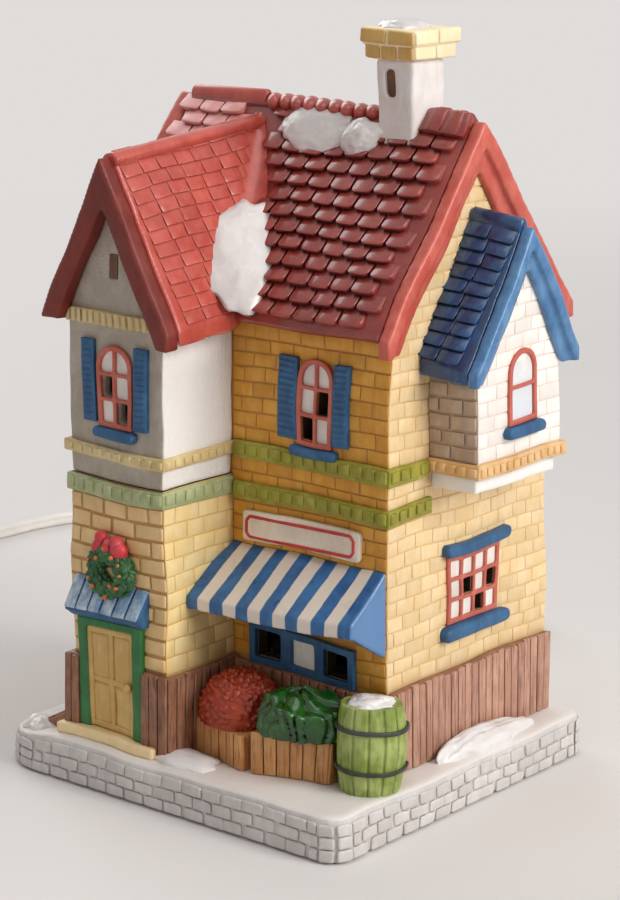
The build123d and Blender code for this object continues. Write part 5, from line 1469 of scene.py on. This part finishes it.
def leaf_folds(way):
    """Fingers that hang over the edge, a rolled crest above them and broad folds on top."""
    angle = math.atan2(way.y, way.x) + 0.25 * clouds.noise(way * 2.0)
    level = math.asin(max(-1.0, min(1.0, way.z)))
    fingers = abs(math.sin(11.0 * angle + 1.2 * level)) ** 0.6
    folds = abs(math.sin(4.0 * angle + 3.0 * level + 1.0)) ** 0.7
    crest = math.exp(-((level - 0.62 - 0.18 * math.sin(2 * angle)) / 0.16) ** 2)
    low = 1.0 if level < 0.5 else max(0.0, 1 - (level - 0.5) / 0.2)
    return 1.9 * fingers * low + 1.9 * crest + 1.3 * folds * (1 - low) + 0.8 * clouds.noise(way * 3.0) - 1.6


berries = heap("red_berries", (12.0, -38.2, 29.4), (12.6, 12.8, 12.0), berry_bumps, 150, 90)
leaves = heap("green_leaves", (37.4, -38.2, 29.2), (15.2, 12.2, 11.8), leaf_folds, 150, 80)
for ob, low, left, end in ((berries, 25.2, -0.2, 24.3), (leaves, 27.0, 24.6, 52.0)):
    sides = [((0, 0, low), -UPWARD), ((left, 0, 0), WEST), ((end, 0, 0), EAST), ((0, -26.4, 0), NORTH)]
    for place, way in sides:
        slice_off(ob, at(*place), way)
finish_piece(smooth(berries, 80), "produce_red", heap_red, "red_heap")
finish_piece(smooth(leaves, 80), "produce_green", heap_green, "green_heap")

# %% Barrel staves
STAVES, PER = 13, 6
NARROW, BELLY, BARREL_TALL, DENT = 9.07, 10.8, 26.4, 0.55
BARREL_X, BARREL_Y, BARREL_Z = 60.6, -34.8, 14.0
deselect()
bpy.ops.mesh.primitive_cylinder_add(vertices=STAVES * PER, radius=1.0, depth=2.0, end_fill_type="TRIFAN")
staves = named("barrel_staves")
open_mesh(staves)
bpy.ops.mesh.subdivide(number_cuts=6, quadcorner="INNERVERT")
close_mesh(staves)
for v in staves.data.vertices:
    level = (v.co.z + 1) / 2
    radius = math.hypot(v.co.x, v.co.y)
    angle = math.atan2(v.co.y, v.co.x)
    belly = NARROW + (BELLY - NARROW) * math.sin(math.pi * level)
    across = (angle / math.tau * STAVES) % 1.0
    dent = DENT * math.exp(-(min(across, 1 - across) / 0.09) ** 2)
    reach = radius * (belly - (dent if radius > 0.97 else 0.0))
    rim = 0.8 if radius < 0.8 and level > 0.9 else 0.0
    x, y = BARREL_X + reach * math.cos(angle), BARREL_Y + reach * math.sin(angle)
    v.co = at(x, y, BARREL_Z + BARREL_TALL * level - rim)
slice_off(staves, at(0, -26.4, 0), NORTH)
finish_piece(smooth(staves, 50), "barrel_green", barrel_lime, "barrel")


# %% Snow
def snow(name, place, axes, size, seed, dents=0.16, ragged=0.1):
    """A pressed ball of snow with uneven dents and a ragged outline, along three axes."""
    deselect()
    bpy.ops.mesh.primitive_uv_sphere_add(segments=72, ring_count=36)
    ob = named(name)
    frame_of = Matrix(axes).transposed()
    for v in ob.data.vertices:
        slow = clouds.noise(v.co * 1.7 + Vector((seed, 0, 0)))
        fast = clouds.noise(v.co * 4.6 + Vector((0, seed, 0)))
        grown = v.co * (1 + dents * slow + 0.35 * dents * fast)
        level = Vector((v.co.x, v.co.y, 0))
        edge = 1 + ragged * (level.length ** 2) * (clouds.noise(level * 1.9 + Vector((0, 0, seed))) * 2)
        grown = Vector((grown.x * edge, grown.y * edge, grown.z))
        v.co = at(*place) + (frame_of @ Vector([g * q for g, q in zip(grown, size)])) * MM
    return smooth(ob, 80)


flat_axes = [EAST, NORTH, UPWARD]
valley = Vector((0.414, -0.562, -0.717))
facing = Vector((0.55, -0.49, 0.67))
facing = (facing - valley * facing.dot(valley)).normalized()
slope_axes = [EAST, front_up, EAST.cross(front_up)]
VALLEY_Y = -19.0
in_valley = Vector((valley_x(VALLEY_Y), VALLEY_Y, main_z(VALLEY_Y))) + facing * 4.4
valley_axes = [valley, facing.cross(valley), facing]
lumps = [
    snow("lump", in_valley, valley_axes, (21.5, 11.6, 3.8), 3.0, 0.08, 0.12),
    snow("lump", (2.4, 9.6, 200.8), slope_axes, (15.0, 7.4, 2.6), 8.0, 0.1, 0.14),
    snow("lump", (20.8, 8.6, 200.2), slope_axes, (7.4, 6.6, 3.8), 11.0, 0.14, 0.1),
    snow("lump", (31.5, 16.5, 232.4), flat_axes, (7.6, 8.6, 2.8), 14.0, 0.12, 0.1),
]
finish_piece(weld("roof_snow_lumps", lumps), "snow_white", snow_paint, "roof_snow")
lumps = [
    snow("lump", (3.4, -53.6, 14.0), flat_axes, (12.4, 7.0, 3.0), 21.0, 0.1, 0.1),
    snow("lump", (64.4, 15.5, 13.8), flat_axes, (5.2, 23.4, 6.2), 24.0, 0.2, 0.12),
    snow("lump", (60.6, -34.8, 40.0), flat_axes, (6.8, 6.6, 2.6), 27.0, 0.25),
    snow("lump", (-58.4, -53.8, 11.6), flat_axes, (6.2, 6.0, 3.6), 30.0, 0.2),
]
finish_piece(weld("base_snow_lumps", lumps), "snow_white", lighter_snow, "base_snow")

# %% Masters put away
for master in (flush_brick, pillow_brick, round_tile, close_tile, long_tile, stone, pane, tooth, plank, slat):
    bpy.data.objects.remove(master)

# %% [markdown]
# The lamp set behind the house: white and dark mouldings, a clear lamp, brass and steel. They keep their
# solids and get materials of their own.


# %% Lamp set materials
def moulding(name, colour, rough, metal=0.0, clear=0.0, fine=700.0, vary=0.08):
    """A plastic, a metal or a glass whose colour and shine vary a little from spot to spot."""
    mat = bpy.data.materials.new(name)
    mat.use_nodes = True
    tree = mat.node_tree
    shader = tree.nodes["Principled BSDF"]
    coords = tree.nodes.new("ShaderNodeTexCoord").outputs["Object"]
    cloud = noise(tree, coords, fine * 0.2, 3.0)
    light = flat_colour(tree, [min(255, c * (1 + 0.6 * vary)) for c in colour])
    dark = flat_colour(tree, [c * (1 - vary) for c in colour])
    link(tree, mix_colour(tree, cloud, dark, light), shader.inputs["Base Color"])
    shine = add_node(tree, "MapRange")
    set_inputs(shine, {"To Min": rough - 0.06, "To Max": rough + 0.08})
    link(tree, noise(tree, coords, fine, 2.0), shine.inputs["Value"])
    link(tree, shine.outputs[0], shader.inputs["Roughness"])
    set_inputs(shader, {"Metallic": metal, "Transmission Weight": clear})
    return mat


cord_vinyl = moulding("cord_vinyl", (226, 222, 216), 0.4)
holder_white = moulding("holder_white", (224, 221, 214), 0.5)
switch_white = moulding("switch_white", (232, 230, 226), 0.38)
tie_dark = moulding("tie_dark", (46, 46, 48), 0.5)
brass = moulding("shell_brass", (206, 168, 92), 0.3, 1.0)
steel = moulding("clip_steel", (186, 186, 184), 0.32, 1.0)
tin = moulding("lamp_tin", (190, 186, 178), 0.36, 1.0)
glass = moulding("lamp_clear", (246, 246, 242), 0.06, clear=1.0)
for name, material in (
    ("lamp_glass", glass), ("lamp_base", tin), ("lampholder_body", holder_white),
    ("lampholder_shell", brass), ("lampholder_clips", steel), ("cord_relief", cord_vinyl),
    ("coil_tie", tie_dark), ("switch_case", switch_white), ("switch_wheel", switch_white),
    ("plug_body", cord_vinyl), ("plug_blades", brass),
):
    dress(nodes[name], material)
dress(cord, cord_vinyl)
print("lamp set painted")

# %% [markdown]
# The studio: a wide flat pale floor, a broad soft light from the right and above, a wide overhead one, a weak
# one from the front and a soft one from behind on the left, so that the right-hand walls are the bright
# ones. Far from the house the lights fade, so there the floor, and the air above it, show their paper colour
# to the eye and to mirror rays alone; that throws no light on the house.

# %% Floor and light
scene = bpy.context.scene
PAPER = (224, 220, 218)
NEAR, FAR = 0.3, 1.3


def seen_directly(tree):
    """One for rays from the eye, from a mirror or through glass, else nought."""
    rays = tree.nodes.new("ShaderNodeLightPath").outputs
    seen = sum_of(tree, "MAXIMUM", rays["Is Camera Ray"], rays["Is Glossy Ray"])
    return sum_of(tree, "MAXIMUM", seen, rays["Is Transmission Ray"])


def mix_shaders(tree, amount, first, second, target):
    """Shows one shader or the other by an amount."""
    both = tree.nodes.new("ShaderNodeMixShader")
    for source, socket in zip((amount, first, second), both.inputs):
        link(tree, source, socket)
    link(tree, both.outputs[0], target.inputs["Surface"])


deselect()
bpy.ops.mesh.primitive_plane_add(size=40.0, location=(0, 0, -0.0002))
floor = named("floor")
paper = moulding("paper", (222, 218, 216), 0.75, fine=60.0, vary=0.012)
tree = paper.node_tree
reach = add_node(tree, "VectorMath", operation="LENGTH")
link(tree, tree.nodes.new("ShaderNodeTexCoord").outputs["Object"], reach.inputs[0])
distant = spread(tree, reach.outputs["Value"], NEAR, FAR)
glow = add_node(tree, "Emission")
set_inputs(glow, {"Color": rgb(*PAPER)})
mix_shaders(tree, sum_of(tree, "MULTIPLY", distant, seen_directly(tree)),
            tree.nodes["Principled BSDF"].outputs[0], glow.outputs[0], tree.nodes["Material Output"])
floor.data.materials.append(paper)
floor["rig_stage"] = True


def area_light(name, place, aim, size, watts, colour=(1, 1, 1)):
    """A soft rectangular light that points at a place."""
    lamp = bpy.data.lights.new(name, "AREA")
    lamp.shape = "RECTANGLE"
    lamp.size, lamp.size_y = size
    lamp.energy = watts
    lamp.color = colour
    ob = bpy.data.objects.new(name, lamp)
    scene.collection.objects.link(ob)
    ob.location = place
    ob.rotation_euler = (Vector(aim) - Vector(place)).to_track_quat("-Z", "Y").to_euler()
    return ob


MIDDLE = (0.0, 0.0, 0.11)
area_light("key", (1.2, 0.1, 0.72), MIDDLE, (0.7, 0.7), 14.2, (1.0, 0.985, 0.96))
area_light("overhead", (0.2, 0.0, 1.4), MIDDLE, (1.0, 1.0), 6.2)
area_light("fill", (0.1, -1.5, 0.6), MIDDLE, (1.0, 1.0), 2.3, (1.0, 0.985, 0.97))
area_light("rear", (-1.2, 0.45, 0.8), MIDDLE, (1.0, 1.0), 8.0)
world = bpy.data.worlds.new("studio")
world.use_nodes = True
tree = world.node_tree
soft, sky = tree.nodes["Background"], add_node(tree, "Background")
set_inputs(soft, {"Color": rgb(206, 204, 203), "Strength": 0.32})
set_inputs(sky, {"Color": rgb(*PAPER)})
mix_shaders(tree, seen_directly(tree), soft.outputs[0], sky.outputs[0], tree.nodes["World Output"])
scene.world = world
scene.view_settings.view_transform = "Standard"

# %% Size and finish
low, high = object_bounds()
print("size", [round(v / MM, 1) for v in high - low])
